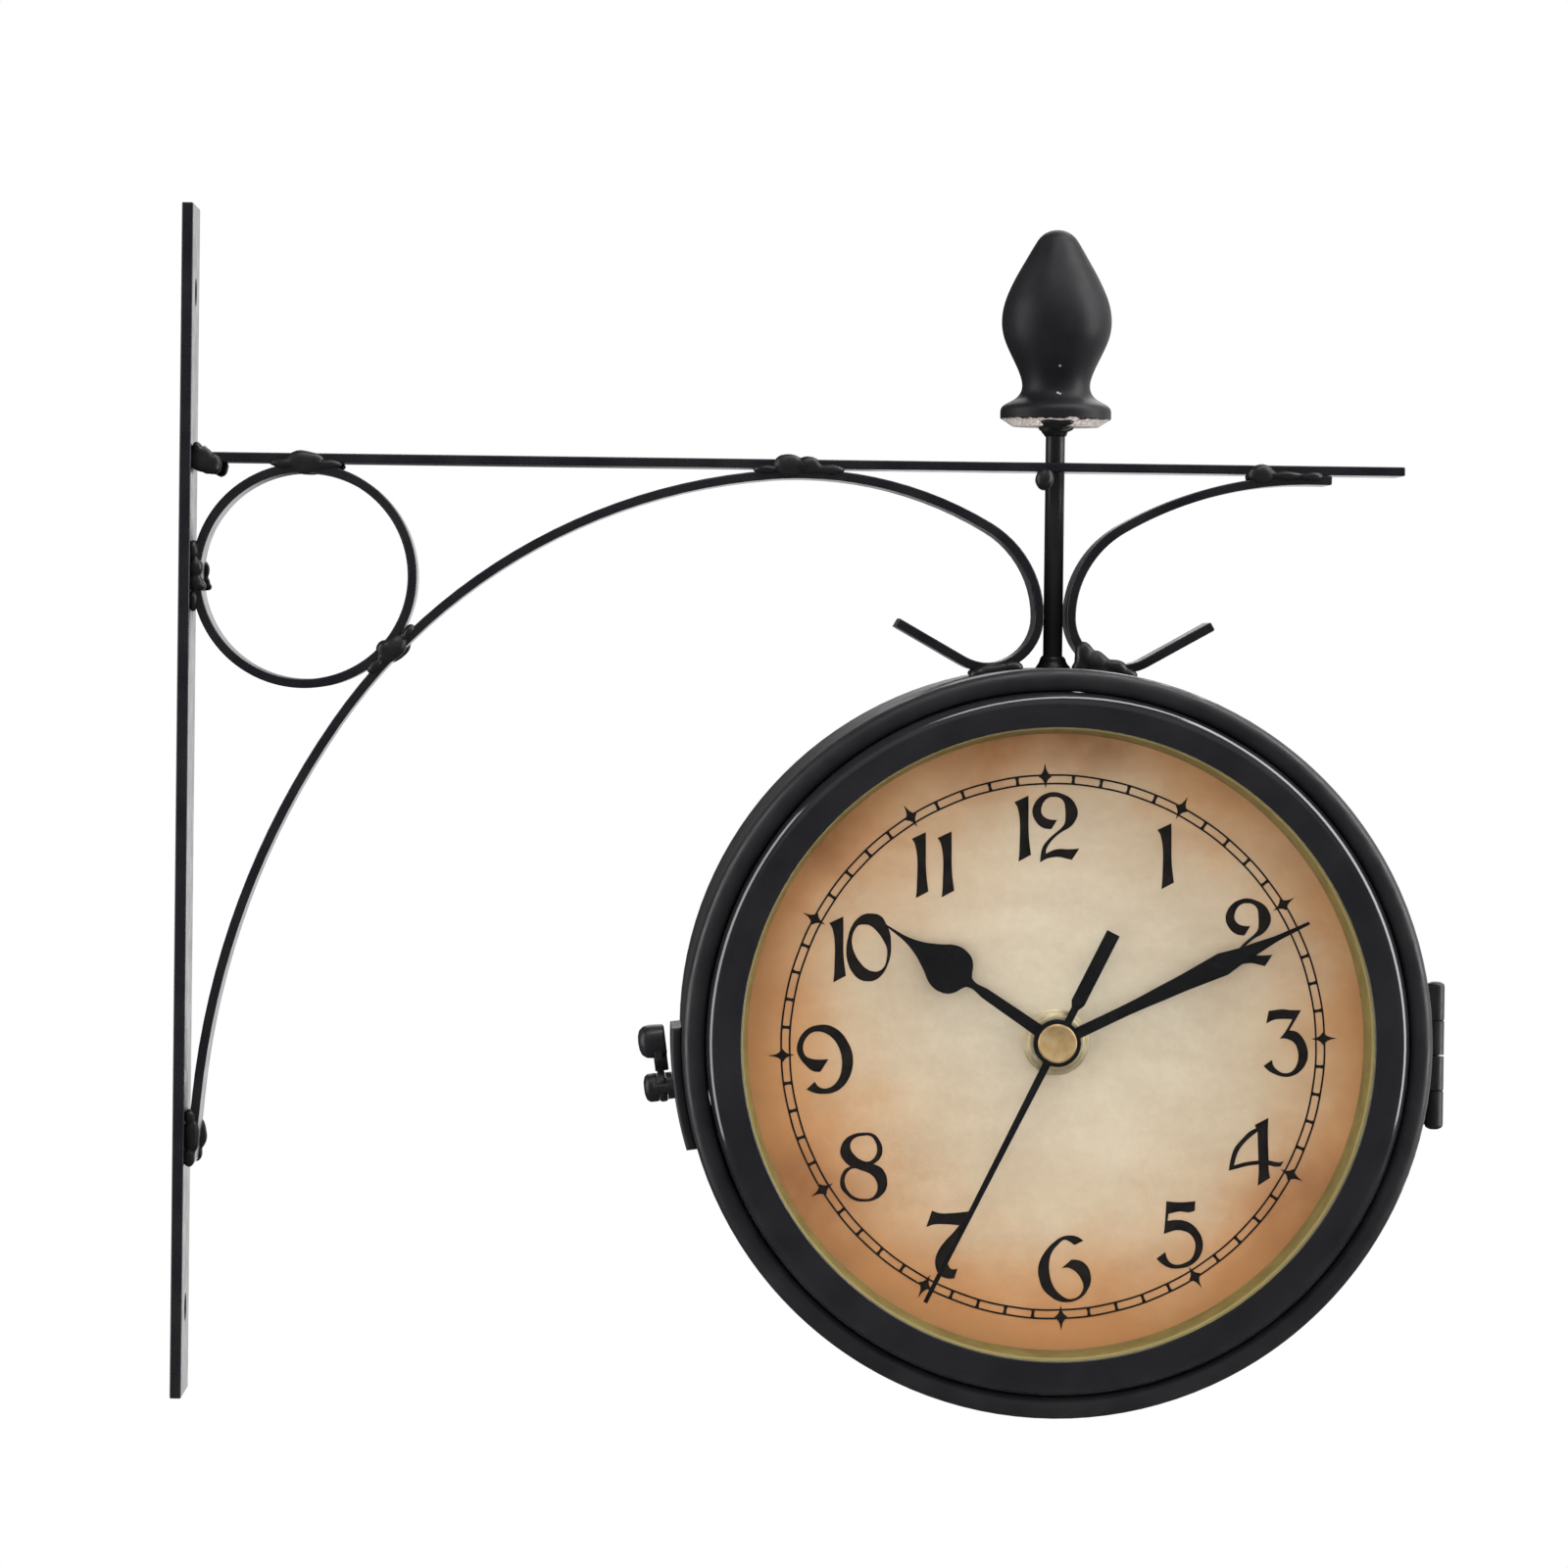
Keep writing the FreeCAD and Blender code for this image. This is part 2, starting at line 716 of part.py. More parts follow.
def hour_hand():
    """A spade: a straight shaft, a round bulb and a needle tip."""
    half = hour_shaft_width / 2
    bulb = disc(hour_bulb_radius, hour_hand_front, hour_hand_back, 0, hour_bulb_reach)
    shaft = block(-half, half, hour_hand_front, hour_hand_back, 0, hour_bulb_reach)
    side = hour_tip_width / 2
    side_z = hour_bulb_reach + math.sqrt(hour_bulb_radius**2 - side**2)
    tip = prism([(-side, side_z), (side, side_z), (0, hour_length)], hour_hand_front, hour_hand_back)
    hub = disc(hand_hub_radius, hour_hand_front, hour_hand_back)
    blade = fused([hub, shaft, bulb, tip]).cut(disc(hour_tube_radius, hour_hand_front, hour_hand_back))
    return turned_by(blade, hour_angle)


def minute_hand():
    """A long leaf that draws in to a needle tip."""
    right = [(x * minute_width / 2, z * minute_length) for x, z in minute_shares]
    left = [(-x, z) for x, z in reversed(right)]
    leaf = prism(right + left, minute_hand_front, minute_hand_back)
    hub = disc(hand_hub_radius, minute_hand_front, minute_hand_back)
    blade = hub.fuse(leaf).cut(disc(minute_tube_radius, minute_hand_front, minute_hand_back))
    return turned_by(blade, minute_angle)


def second_hand():
    """A needle with a broad bar for a tail."""
    root = second_needle_width / 2
    tip = second_tip_width / 2
    bar = second_tail_width / 2
    neck = -second_tail_neck_length
    right = [(bar, -second_tail_length), (bar, neck), (root, neck), (root, 0), (tip, second_length)]
    left = [(-x, z) for x, z in reversed(right)]
    needle = prism(right + left, second_hand_front, second_hand_back)
    hub = disc(hand_hub_radius, second_hand_front, second_hand_back)
    blade = hub.fuse(needle).cut(disc(second_arbor_radius, second_hand_front, second_hand_back))
    return turned_by(blade, second_angle)


def second_cap():
    cap = disc(cap_radius, second_hand_front - cap_height, second_hand_front)
    crown = [edge for edge in cap.Edges if edge.BoundBox.YMax < second_hand_front - cap_height / 2]
    cap = cap.makeFillet(cap_height / 2, crown)
    return cap.cut(disc(second_arbor_radius, second_hand_front - tube_proud, second_hand_front))


def on_side(side, shape):
    """Puts a shape of the front clock in its place, or turns it about to face the rear."""
    if side == "rear":
        shape = turned_by(shape, 180, Vector(0, 0, 1))
    return moved(shape, post_x, 0, drum_z)


splits = {"front": -split_offset - split_gap / 2, "rear": split_offset - split_gap / 2}
for side, split in splits.items():
    pieces = {
        "case": case_half(split, side == "rear"),
        "bezel": bezel(),
        "glass": disc(stack_radius, glass_front, glass_front + glass_thickness),
        "spacer_ring": spacer_ring(),
        "dial": dial(),
        "retaining_ring": retaining_ring(),
        "movement_case": movement_case(),
        "movement_cover": movement_cover(),
        "fixing_nut": fixing_nut(),
        "battery": battery(),
        "battery_contacts": battery_contacts(),
        "motor_board": motor_board(),
        "hour_wheel": hour_wheel(),
        "minute_wheel": minute_wheel(),
        "second_wheel": second_wheel(),
        "third_wheel": third_wheel(),
        "setting_wheel": setting_wheel(),
        "setting_knob": setting_knob(),
        "hour_hand": hour_hand(),
        "minute_hand": minute_hand(),
        "second_hand": second_hand(),
        "second_cap": second_cap(),
    }
    for name, shape in pieces.items():
        nodes[f"{side}_{name}"] = on_side(side, shape)


# Hinge, on the right of the drum, and latch, on its left

def band(thickness, y0, y1, z0, z1, side):
    """A plate bent to lie on the drum, on its right (1) or left (-1)."""
    outer = case_radius + thickness
    shell = tube(outer, case_radius, y0, y1)
    near, far = sorted((0, side * outer))
    return shell.common(block(near, far, y0, y1, z0, z1))


hinge_x = case_radius + hinge_standoff
hinge_low = -hinge_drop - hinge_length / 2
knuckle_pitch = hinge_length / hinge_knuckles
leaf_edges = {"front": -split_offset - split_gap / 2, "rear": -split_offset + split_gap / 2}


def hinge_leaf(side, pin_room):
    """A leaf on one half of the case, with every other knuckle of the barrel."""
    edge = leaf_edges[side]
    outward = -1 if side == "front" else 1
    y0, y1 = sorted((edge, edge + outward * hinge_leaf_width))
    plate = band(hinge_leaf_thickness, y0, y1, hinge_low, hinge_low + hinge_length, 1)
    pieces = [plate]
    first = 0 if side == "rear" else 1
    for knuckle in range(first, hinge_knuckles, 2):
        low = hinge_low + knuckle * knuckle_pitch + hinge_knuckle_gap / 2
        length = knuckle_pitch - hinge_knuckle_gap
        at = Vector(hinge_x, -split_offset, low)
        pieces.append(Part.makeCylinder(hinge_barrel_radius, length, at))
        w0, w1 = sorted((edge, -split_offset + outward * hinge_barrel_radius))
        web = block(hinge_x - 2 * hinge_standoff, hinge_x, w0, w1, low, low + length)
        pieces.append(web.cut(disc(case_radius, w0, w1)))
    pin = Part.makeCylinder(pin_room, hinge_length, Vector(hinge_x, -split_offset, hinge_low))
    return moved(fused(pieces).cut(pin), post_x, 0, drum_z)


nodes["hinge_leaf_rear"] = hinge_leaf("rear", hinge_pin_radius)
nodes["hinge_leaf_front"] = hinge_leaf("front", hinge_pin_radius + hinge_fit)
pin_foot = Vector(post_x + hinge_x, -split_offset, drum_z + hinge_low)
nodes["hinge_pin"] = Part.makeCylinder(hinge_pin_radius, hinge_length, pin_foot)

plate_top = case_radius + latch_plate_thickness
pivot_y = leaf_edges["rear"] + pivot_setback
keeper_y = pivot_y - keeper_reach
hook_floor = plate_top + pivot_base_length + hook_play
hook_roof = hook_floor + hook_thickness
pivot_shoulder = hook_roof + hook_play


def spool(steps, y, z=0):
    """A stud that stands out to the left: (radius, near, far) steps measured from the drum's axis."""
    left = Vector(-1, 0, 0)
    return fused([Part.makeCylinder(r, far - near, Vector(-near, y, z), left) for r, near, far in steps])


def latch_hook():
    """A swinging arm that stands up from its pivot, with a hooked notch and a thumb knob."""
    left = Vector(-1, 0, 0)
    half = hook_half_width
    arm = block(-hook_roof, -hook_floor, pivot_y - half, pivot_y + half, 0, knob_reach)
    foot = spool([(half, hook_floor, hook_roof)], pivot_y)
    head = spool([(half, hook_floor, hook_roof)], pivot_y, knob_reach)
    knob_low = hook_floor - knob_back_length
    knob = spool([(knob_radius, knob_low, hook_roof + knob_length)], pivot_y, knob_reach)
    knob = knob.makeFillet(knob_back_length / 2, [e for e in knob.Edges if e.BoundBox.XLength < hook_play])
    room = keeper_neck_radius + keeper_play
    start = Vector(-hook_floor, pivot_y, 0)
    sweep = Part.makeCylinder(keeper_reach + room, hook_thickness, start, left)
    sweep = sweep.cut(Part.makeCylinder(keeper_reach - room, hook_thickness, start, left))
    sweep = sweep.common(block(-hook_roof, -hook_floor, pivot_y - knob_reach, pivot_y, 0, knob_reach))
    notch = spool([(room, hook_floor, hook_roof)], pivot_y, keeper_reach)
    eye = spool([(pivot_neck_radius + hook_fit, hook_floor, hook_roof)], pivot_y)
    return fused([arm, foot, head]).cut([sweep, notch, eye]).fuse(knob).removeSplitter()


def latch_piece(shape):
    return moved(turned_by(shape, -latch_angle), post_x, 0, drum_z)


latch_half = latch_plate_height / 2
rear_from = leaf_edges["rear"]
front_to = leaf_edges["front"]
rear_plate = band(latch_plate_thickness, rear_from, rear_from + latch_plate_width, -latch_half, latch_half, -1)
front_from = front_to - latch_plate_width
front_plate = band(latch_plate_thickness, front_from, front_to, -latch_half, latch_half, -1)
pivot_steps = [
    (pivot_base_radius, plate_top, hook_floor - hook_play),
    (pivot_neck_radius, hook_floor - hook_play, pivot_shoulder),
    (pivot_head_radius, pivot_shoulder, pivot_shoulder + pivot_head_length),
]
keeper_steps = [
    (keeper_neck_radius, plate_top, pivot_shoulder),
    (keeper_head_radius, pivot_shoulder, pivot_shoulder + keeper_head_length),
]
nodes["latch_plate"] = latch_piece(rear_plate)
nodes["latch_pivot"] = latch_piece(spool(pivot_steps, pivot_y))
nodes["latch_hook"] = latch_piece(latch_hook())
nodes["keeper_plate"] = latch_piece(front_plate)
nodes["keeper_stud"] = latch_piece(spool(keeper_steps, keeper_y))

os.makedirs("parts", exist_ok=True)
for name, shape in nodes.items():
    shape.exportStep(f"parts/{name}.step")
    print(f"{name}: {len(shape.Solids)} solid, {shape.Volume:.0f} mm3, valid {shape.isValid()}")
print(f"post at x {post_x:.2f}, drum centre at z {drum_z:.2f}, ring radius {ring_radius:.2f}")
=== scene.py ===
# %% [markdown]
# # A double-sided clock on a scrolled wall bracket
# Two battery clocks sit back to back in a short steel drum, and the drum hangs from a bracket of bent
# flat bar. The CAD frame holds every piece at its place. This lesson gives each piece its finish, draws
# what is printed on the dials or cut from thin sheet, lays the weld metal and sets up the camera and lamps.
# Lengths are written in millimetres and turned into metres where they are used.

# %% Load the frame
import json
import math

import bpy
from mathutils import Matrix, Vector

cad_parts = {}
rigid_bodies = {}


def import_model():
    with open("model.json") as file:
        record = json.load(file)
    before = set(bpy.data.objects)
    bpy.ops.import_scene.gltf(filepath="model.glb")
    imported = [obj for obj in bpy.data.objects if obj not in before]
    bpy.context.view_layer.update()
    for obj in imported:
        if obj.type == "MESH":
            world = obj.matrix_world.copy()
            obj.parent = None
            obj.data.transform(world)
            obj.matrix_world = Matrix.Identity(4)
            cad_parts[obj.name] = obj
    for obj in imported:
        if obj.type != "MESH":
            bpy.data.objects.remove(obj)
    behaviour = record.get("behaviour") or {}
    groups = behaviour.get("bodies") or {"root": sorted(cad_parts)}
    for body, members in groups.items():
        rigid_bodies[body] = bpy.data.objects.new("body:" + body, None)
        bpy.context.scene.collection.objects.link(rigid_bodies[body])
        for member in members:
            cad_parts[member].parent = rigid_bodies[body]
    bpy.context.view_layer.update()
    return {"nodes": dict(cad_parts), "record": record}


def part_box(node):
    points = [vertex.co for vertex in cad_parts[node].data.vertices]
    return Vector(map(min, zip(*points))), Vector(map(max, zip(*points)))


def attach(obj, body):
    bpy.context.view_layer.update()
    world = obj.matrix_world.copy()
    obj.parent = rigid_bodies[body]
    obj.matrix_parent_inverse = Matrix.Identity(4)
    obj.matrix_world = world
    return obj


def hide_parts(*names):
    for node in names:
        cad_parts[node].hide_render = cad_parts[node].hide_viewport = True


for leftover in list(bpy.data.objects):
    bpy.data.objects.remove(leftover)
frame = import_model()
for plain in list(bpy.data.materials):
    bpy.data.materials.remove(plain)
MM = 0.001
nodes = frame["nodes"]
dial_low, dial_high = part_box("front_dial")
HUB = (dial_low + dial_high) / 2
print("nodes", len(nodes), "hub at", [round(v / MM, 2) for v in HUB])

# %% [markdown]
# The photograph looks almost squarely at the front dial with a long lens. The camera stands a little
# left of the drum and below the arm, so the right side of each strip and the drum's rim just show. It
# could be placed by eye in the viewport; written numbers give the same view on every run.

# %% Camera
scene = bpy.context.scene


def aim(thing, spot, roll=0.0):
    """Turns a camera or lamp towards a spot, then rolls it about its own line of sight."""
    sight = (Vector(spot) - thing.location).to_track_quat("-Z", "Y").to_matrix()
    thing.rotation_euler = (sight @ Matrix.Rotation(math.radians(roll), 3, "Z")).to_euler()


lens = bpy.data.cameras.new("camera")
lens.lens = 154.7
lens.clip_start = 0.05
lens.clip_end = 20
camera = bpy.data.objects.new("camera", lens)
scene.collection.objects.link(camera)
camera.location = Vector((82.6, -1250, 28.3)) * MM
aim(camera, Vector((112, 0, 4.3)) * MM, roll=0.7)
scene.camera = camera
scene.view_settings.view_transform = "Standard"
print("camera at", [round(v, 3) for v in camera.location])

# %% [markdown]
# Every finish is a small tree of shader nodes. It could be wired by hand in the shader editor; a few
# helpers write the same tree in a line or two. One makes a node and fills its sockets with a value or a
# link; the others give a colour as it looks on a screen, mix two colours by a mask, do one sum and start
# a material.

# %% Helpers for shader nodes
def plug(tree, made, sockets):
    """Fills a node's inputs, each with a plain value or with a link from another node."""
    for name, value in sockets.items():
        if isinstance(value, bpy.types.NodeSocket):
            tree.links.new(value, made.inputs[name])
        else:
            made.inputs[name].default_value = value


def put(tree, kind, sockets=None, **settings):
    """A new shader node with its settings and its inputs."""
    made = tree.nodes.new("ShaderNode" + kind)
    for name, value in settings.items():
        setattr(made, name, value)
    plug(tree, made, sockets or {})
    return made


def srgb(red, green, blue):
    """A colour as it looks on a screen, 0 to 255, as linear light."""
    parts = [v / 255 for v in (red, green, blue)]
    return [((v + 0.055) / 1.055) ** 2.4 if v > 0.04 else v / 12.92 for v in parts] + [1.0]


def mix(tree, mask, first, second):
    """First colour where the mask is 0, second where it is 1."""
    return put(tree, "Mix", {0: mask, 6: first, 7: second}, data_type="RGBA").outputs[2]


def sums(tree, action, first, second=0.0):
    """One sum on two numbers."""
    return put(tree, "Math", {0: first, 1: second}, operation=action).outputs[0]


def finish(name, **plain):
    """A new material: itself, its tree, its main shader and its Object coordinates."""
    made = bpy.data.materials.new(name)
    made.use_nodes = True
    tree = made.node_tree
    shader = tree.nodes["Principled BSDF"]
    plug(tree, shader, {label.replace("_", " "): value for label, value in plain.items()})
    return made, tree, shader, tree.nodes.new("ShaderNodeTexCoord").outputs["Object"]


print("helpers ready")

# %% [markdown]
# Nothing on an old clock is one even colour. Two effects are shared by the finishes, a cloudy
# unevenness and a soft round spot. Each is a node group, so that it is built once and placed in every
# finish with its own values. The finishes read Object coordinates, which need no unwrapping and leave no
# seams. The smaller helpers fade a value between two edges, turn a value into relief, and measure from
# the hub and from the plane between the two clocks.

# %% Shared effects
def group(name, inputs, outputs):
    """A new node group with its sockets: itself, what it is given and what it puts out."""
    tree = bpy.data.node_groups.new(name, "ShaderNodeTree")
    for side, sockets in (("INPUT", inputs), ("OUTPUT", outputs)):
        for label, kind in sockets.items():
            tree.interface.new_socket(label, in_out=side, socket_type="NodeSocket" + kind)
    return tree, tree.nodes.new("NodeGroupInput").outputs, tree.nodes.new("NodeGroupOutput").inputs


cloud_group, given, result = group(
    "cloud", {"Vector": "Vector", "Scale": "Float", "Low": "Float", "High": "Float"}, {"Value": "Float"})
noise = put(cloud_group, "TexNoise", {"Vector": given["Vector"], "Scale": given["Scale"], "Detail": 4.0})
spread = put(cloud_group, "MapRange", {
    "Value": noise.outputs["Fac"], "From Min": 0.32, "From Max": 0.68,
    "To Min": given["Low"], "To Max": given["High"]})
cloud_group.links.new(spread.outputs["Result"], result["Value"])

spot_group, given, result = group(
    "spot", {"Vector": "Vector", "Middle": "Vector", "Core": "Float", "Edge": "Float"}, {"Mask": "Float"})
reach = put(spot_group, "VectorMath", {0: given["Vector"], 1: given["Middle"]}, operation="DISTANCE")
fall = put(spot_group, "MapRange", {
    "Value": reach.outputs["Value"], "From Min": given["Core"], "From Max": given["Edge"],
    "To Min": 1.0, "To Max": 0.0}, interpolation_type="SMOOTHSTEP")
spot_group.links.new(fall.outputs["Result"], result["Mask"])


def cloud(tree, place, size, low, high):
    """A cloudy value between low and high, with patches of about the given size."""
    return put(tree, "Group", {"Vector": place, "Scale": 1 / (size * MM), "Low": low, "High": high},
               node_tree=cloud_group).outputs["Value"]


def spot(tree, place, middle, core, edge):
    """A soft spot: 1 inside the core, 0 past the edge."""
    return put(tree, "Group", {"Vector": place, "Middle": Vector(middle) * MM, "Core": core * MM,
                               "Edge": edge * MM}, node_tree=spot_group).outputs["Mask"]


def fade(tree, value, start, end):
    """0 at the start, 1 at the end."""
    return put(tree, "MapRange", {"Value": value, "From Min": start, "From Max": end}).outputs["Result"]


def bump(tree, height, depth):
    """A height in 0 to 1 as relief of the given depth."""
    return put(tree, "Bump", {"Height": height, "Strength": 1.0, "Distance": depth * MM}).outputs["Normal"]


def from_hub(tree, place):
    """Coordinates in the dial's plane, measured from the hub."""
    return put(tree, "Mapping", {
        "Vector": place, "Location": (-HUB.x, 0, -HUB.z), "Scale": (1, 0, 1)}).outputs[0]


def from_split(tree, place):
    """Distance from the plane midway between the two dials."""
    return sums(tree, "ABSOLUTE", put(tree, "SeparateXYZ", {"Vector": place}).outputs["Y"])


print("groups", [g.name for g in bpy.data.node_groups])

# %% [markdown]
# The bracket is sprayed black over steel that was welded and not ground. The drum, its fittings and the
# post are more satin, and the spun bezels glossier. A flat black would look like a hole in the picture,
# so the paint is a touch uneven in tone and gloss, with the faint orange peel of a spray coat. The weld
# metal has the same paint over a coarser skin, and the hands a thin coat with little shine.

# %% Black paints
def painted(name, dark, light, roughness, peel_size, peel_depth, shine):
    """Sprayed black: two close tones, a varying gloss and the relief of the coat."""
    made, tree, shader, place = finish(name, Specular_IOR_Level=shine)
    peel = cloud(tree, place, peel_size, 0.0, 1.0)
    plug(tree, shader, {
        "Base Color": mix(tree, cloud(tree, place, 9, 0.0, 1.0), dark, light),
        "Roughness": cloud(tree, place, 4, roughness * 0.8, roughness * 1.2),
        "Normal": bump(tree, peel, peel_depth)})
    return made


black_paint = painted(
    "black_paint", srgb(17, 17, 21), srgb(25, 25, 28),
    roughness=0.22, peel_size=1.1, peel_depth=0.003, shine=0.35)
gloss_black = painted(
    "gloss_black", srgb(21, 21, 24), srgb(27, 27, 29),
    roughness=0.1, peel_size=1.4, peel_depth=0.001, shine=0.55)
satin_black = painted(
    "satin_black", srgb(19, 19, 22), srgb(27, 27, 29),
    roughness=0.42, peel_size=0.9, peel_depth=0.006, shine=0.35)
weld_metal = painted(
    "weld_metal", srgb(14, 14, 16), srgb(24, 24, 25),
    roughness=0.38, peel_size=0.8, peel_depth=0.008, shine=0.28)
black_hands = painted(
    "black_hands", srgb(8, 8, 10), srgb(13, 13, 15),
    roughness=0.24, peel_size=0.5, peel_depth=0.002, shine=0.1)
print("paints made")

# %% [markdown]
# The finial is a casting in a duller black. It was sprayed standing up, so the underside of its foot
# stayed bare, pale and grainy, and a few small chips show on its front. The bare metal could be a second
# material on chosen faces; a mask by height with a ragged edge ends where a spray would, not at a face.

# %% Cast iron
matte_black_cast, tree, shader, place = finish("matte_black_cast", Specular_IOR_Level=0.2)
BARE_UP_TO, PAINTED_FROM = 1.2, 1.45
CHIPS = [(161.8, -7.38, 82.2), (161.5, -6.74, 77.3), (161.9, -6.72, 77.05)]
CHIP_CORE, CHIP_EDGE, CHIP_PALENESS = 0.12, 0.32, 0.6
RAGGED = 0.25
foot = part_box("finial")[0]
height = put(tree, "SeparateXYZ", {"Vector": place}).outputs["Z"]
grain = cloud(tree, place, 0.45, 0.0, 1.0)
ragged = sums(tree, "ADD", height, cloud(tree, place, 1.2, -RAGGED * MM, RAGGED * MM))
painted_part = fade(tree, ragged, foot.z + BARE_UP_TO * MM, foot.z + PAINTED_FROM * MM)
bare = sums(tree, "SUBTRACT", 1.0, painted_part)
for middle in CHIPS:
    chip = sums(tree, "MULTIPLY", spot(tree, place, middle, CHIP_CORE, CHIP_EDGE), CHIP_PALENESS)
    bare = sums(tree, "MAXIMUM", bare, chip)
black = mix(tree, cloud(tree, place, 7, 0.0, 1.0), srgb(13, 13, 16), srgb(19, 19, 22))
raw = mix(tree, grain, srgb(120, 112, 106), srgb(214, 204, 198))
plug(tree, shader, {
    "Base Color": mix(tree, bare, black, raw),
    "Roughness": cloud(tree, place, 3, 0.44, 0.54),
    "Normal": bump(tree, grain, 0.006)})
print("cast iron made")

# %% [markdown]
# The dial is printed paper glued to a card. Age has browned it from the rim inwards, most at the lower
# corners, the upper left and the top, and left the middle cream. A painted picture could show this, but a
# tree of nodes stays sharp at any size: the distance from the middle of the pale part, made wavy by a
# cloud, runs through a colour ramp, and the burnt patches are soft spots on top. The pale middle sits up
# and to the right of the hub, which also paints in light where the lamps fall off on the dial's right and
# top. The card's back is plain.

# %% Aged paper
def ramp(tree, value, stops):
    """A colour for each value, through the given stops."""
    made = put(tree, "ValToRGB", {"Fac": value})
    marks = made.color_ramp.elements
    while len(marks) < len(stops):
        marks.new(0.5)
    for mark, (at, colour) in zip(marks, stops):
        mark.position = at
        mark.color = colour
    return made.outputs["Color"]


# Up and right of the hub: partly the print's browning, partly painted light where the lamps fall off.
PALE_AND_LIT_MIDDLE = Vector((3, 0, 5))
BROWN_RADIUS = 57
BURNT = [((-46, 0, -31), 18), ((48, 0, -30), 15), ((-42, 0, 39), 12), ((-13, 0, 56), 16), ((5, 0, 57), 14)]
BURNT_CORE = 3
aged_paper_dial, tree, shader, place = finish("aged_paper_dial")
flat = from_hub(tree, place)
radius = put(tree, "VectorMath", {0: flat, 1: PALE_AND_LIT_MIDDLE * MM}, operation="DISTANCE").outputs["Value"]
wavy = sums(tree, "ADD", radius, cloud(tree, place, 22, -4 * MM, 4 * MM))
wavy = sums(tree, "ADD", wavy, cloud(tree, place, 6, -1.2 * MM, 1.2 * MM))
paper = ramp(tree, sums(tree, "DIVIDE", wavy, BROWN_RADIUS * MM), [
    (0.0, srgb(218, 206, 182)), (0.4, srgb(217, 203, 178)), (0.6, srgb(214, 194, 165)),
    (0.77, srgb(209, 173, 135)), (0.9, srgb(204, 152, 104)), (1.0, srgb(192, 134, 82))])
burnt = 0.0
for middle, size in BURNT:
    burnt = sums(tree, "MAXIMUM", burnt, spot(tree, flat, middle, BURNT_CORE, size))
burnt = sums(tree, "MULTIPLY", burnt, cloud(tree, place, 9, 0.2, 0.8))
fibre = cloud(tree, place, 0.6, 0.0, 1.0)
streak = put(tree, "Mapping", {"Vector": place, "Scale": (0.45, 1, 1)}).outputs[0]
worn = sums(tree, "ADD", cloud(tree, streak, 5, 0.0, 0.16), cloud(tree, place, 1.8, 0.0, 0.08))
worn = sums(tree, "ADD", worn, sums(tree, "MULTIPLY", fibre, 0.06))
stained = mix(tree, burnt, paper, srgb(142, 86, 42))
printed = mix(tree, worn, stained, srgb(146, 112, 78))
facing = fade(tree, from_split(tree, place), -dial_high.y + 0.1 * MM, -dial_high.y + 0.2 * MM)
card = mix(tree, fibre, srgb(138, 124, 104), srgb(156, 142, 120))
plug(tree, shader, {
    "Base Color": mix(tree, facing, card, printed),
    "Roughness": cloud(tree, place, 6, 0.62, 0.78),
    "Normal": bump(tree, fibre, 0.01)})

ink, tree, shader, place = finish("ink", Specular_IOR_Level=0.1)
plug(tree, shader, {
    "Base Color": mix(tree, cloud(tree, place, 2.5, 0.0, 1.0), srgb(14, 12, 12), srgb(30, 25, 22)),
    "Roughness": cloud(tree, place, 4, 0.55, 0.7)})
print("paper and ink made")

# %% [markdown]
# Behind the glass a sloping ring in an olive gold lacquer holds the dial back, with a painted highlight along
# its front edge.
# The cap on the seconds hand and the nut below it are turned brass, whose fine round grooves draw the
# light into a bow tie. Real grooves would take far too many faces, so a wave along the radius drives a
# little relief, and an anisotropic gloss does the rest. The spring steel inside has the same skin.

# %% Gold lacquer and brass
HIGHLIGHT_EDGE = (28.3, 29.6)
gold_ring, tree, shader, place = finish("gold_ring", Metallic=0.35)
# The paler colour towards the front edge is a painted highlight.
edge = fade(tree, from_split(tree, place), HIGHLIGHT_EDGE[0] * MM, HIGHLIGHT_EDGE[1] * MM)
olive = mix(tree, cloud(tree, place, 5, 0.0, 1.0), srgb(106, 100, 54), srgb(130, 122, 72))
plug(tree, shader, {
    "Base Color": mix(tree, edge, olive, srgb(168, 160, 110)),
    "Roughness": cloud(tree, place, 3, 0.36, 0.48)})
GROOVE_WAVE = 36000.0  # radians per metre of radius


def turned(name, colour, pale, roughness):
    """Lathe-turned metal: round grooves about the hub."""
    made, tree, shader, place = finish(name, Metallic=1.0, Anisotropic=0.75, Anisotropic_Rotation=0.25)
    radius = put(tree, "VectorMath", {0: from_hub(tree, place)}, operation="LENGTH").outputs["Value"]
    groove = sums(tree, "SINE", sums(tree, "MULTIPLY", radius, GROOVE_WAVE))
    tarnish = cloud(tree, place, 2, 0.0, 1.0)
    plug(tree, shader, {
        "Base Color": mix(tree, tarnish, colour, pale),
        "Roughness": cloud(tree, place, 1.5, roughness - 0.05, roughness + 0.05),
        "Normal": bump(tree, groove, 0.004),
        "Tangent": put(tree, "Tangent", direction_type="RADIAL", axis="Y").outputs["Tangent"]})
    return made


brass = turned("brass", srgb(196, 162, 112), srgb(216, 188, 142), roughness=0.36)
pale_brass = turned("pale_brass", srgb(206, 190, 152), srgb(226, 214, 184), roughness=0.4)
spring_steel = turned("spring_steel", srgb(150, 150, 150), srgb(176, 176, 174), roughness=0.34)
print("metals made")

# %% [markdown]
# The glass is a plain cut disc. Hardly any lamp light finds its way through a refracting shader in a
# render, and the dial would be dark, so shadow rays see the disc as clear and every other ray as glass.

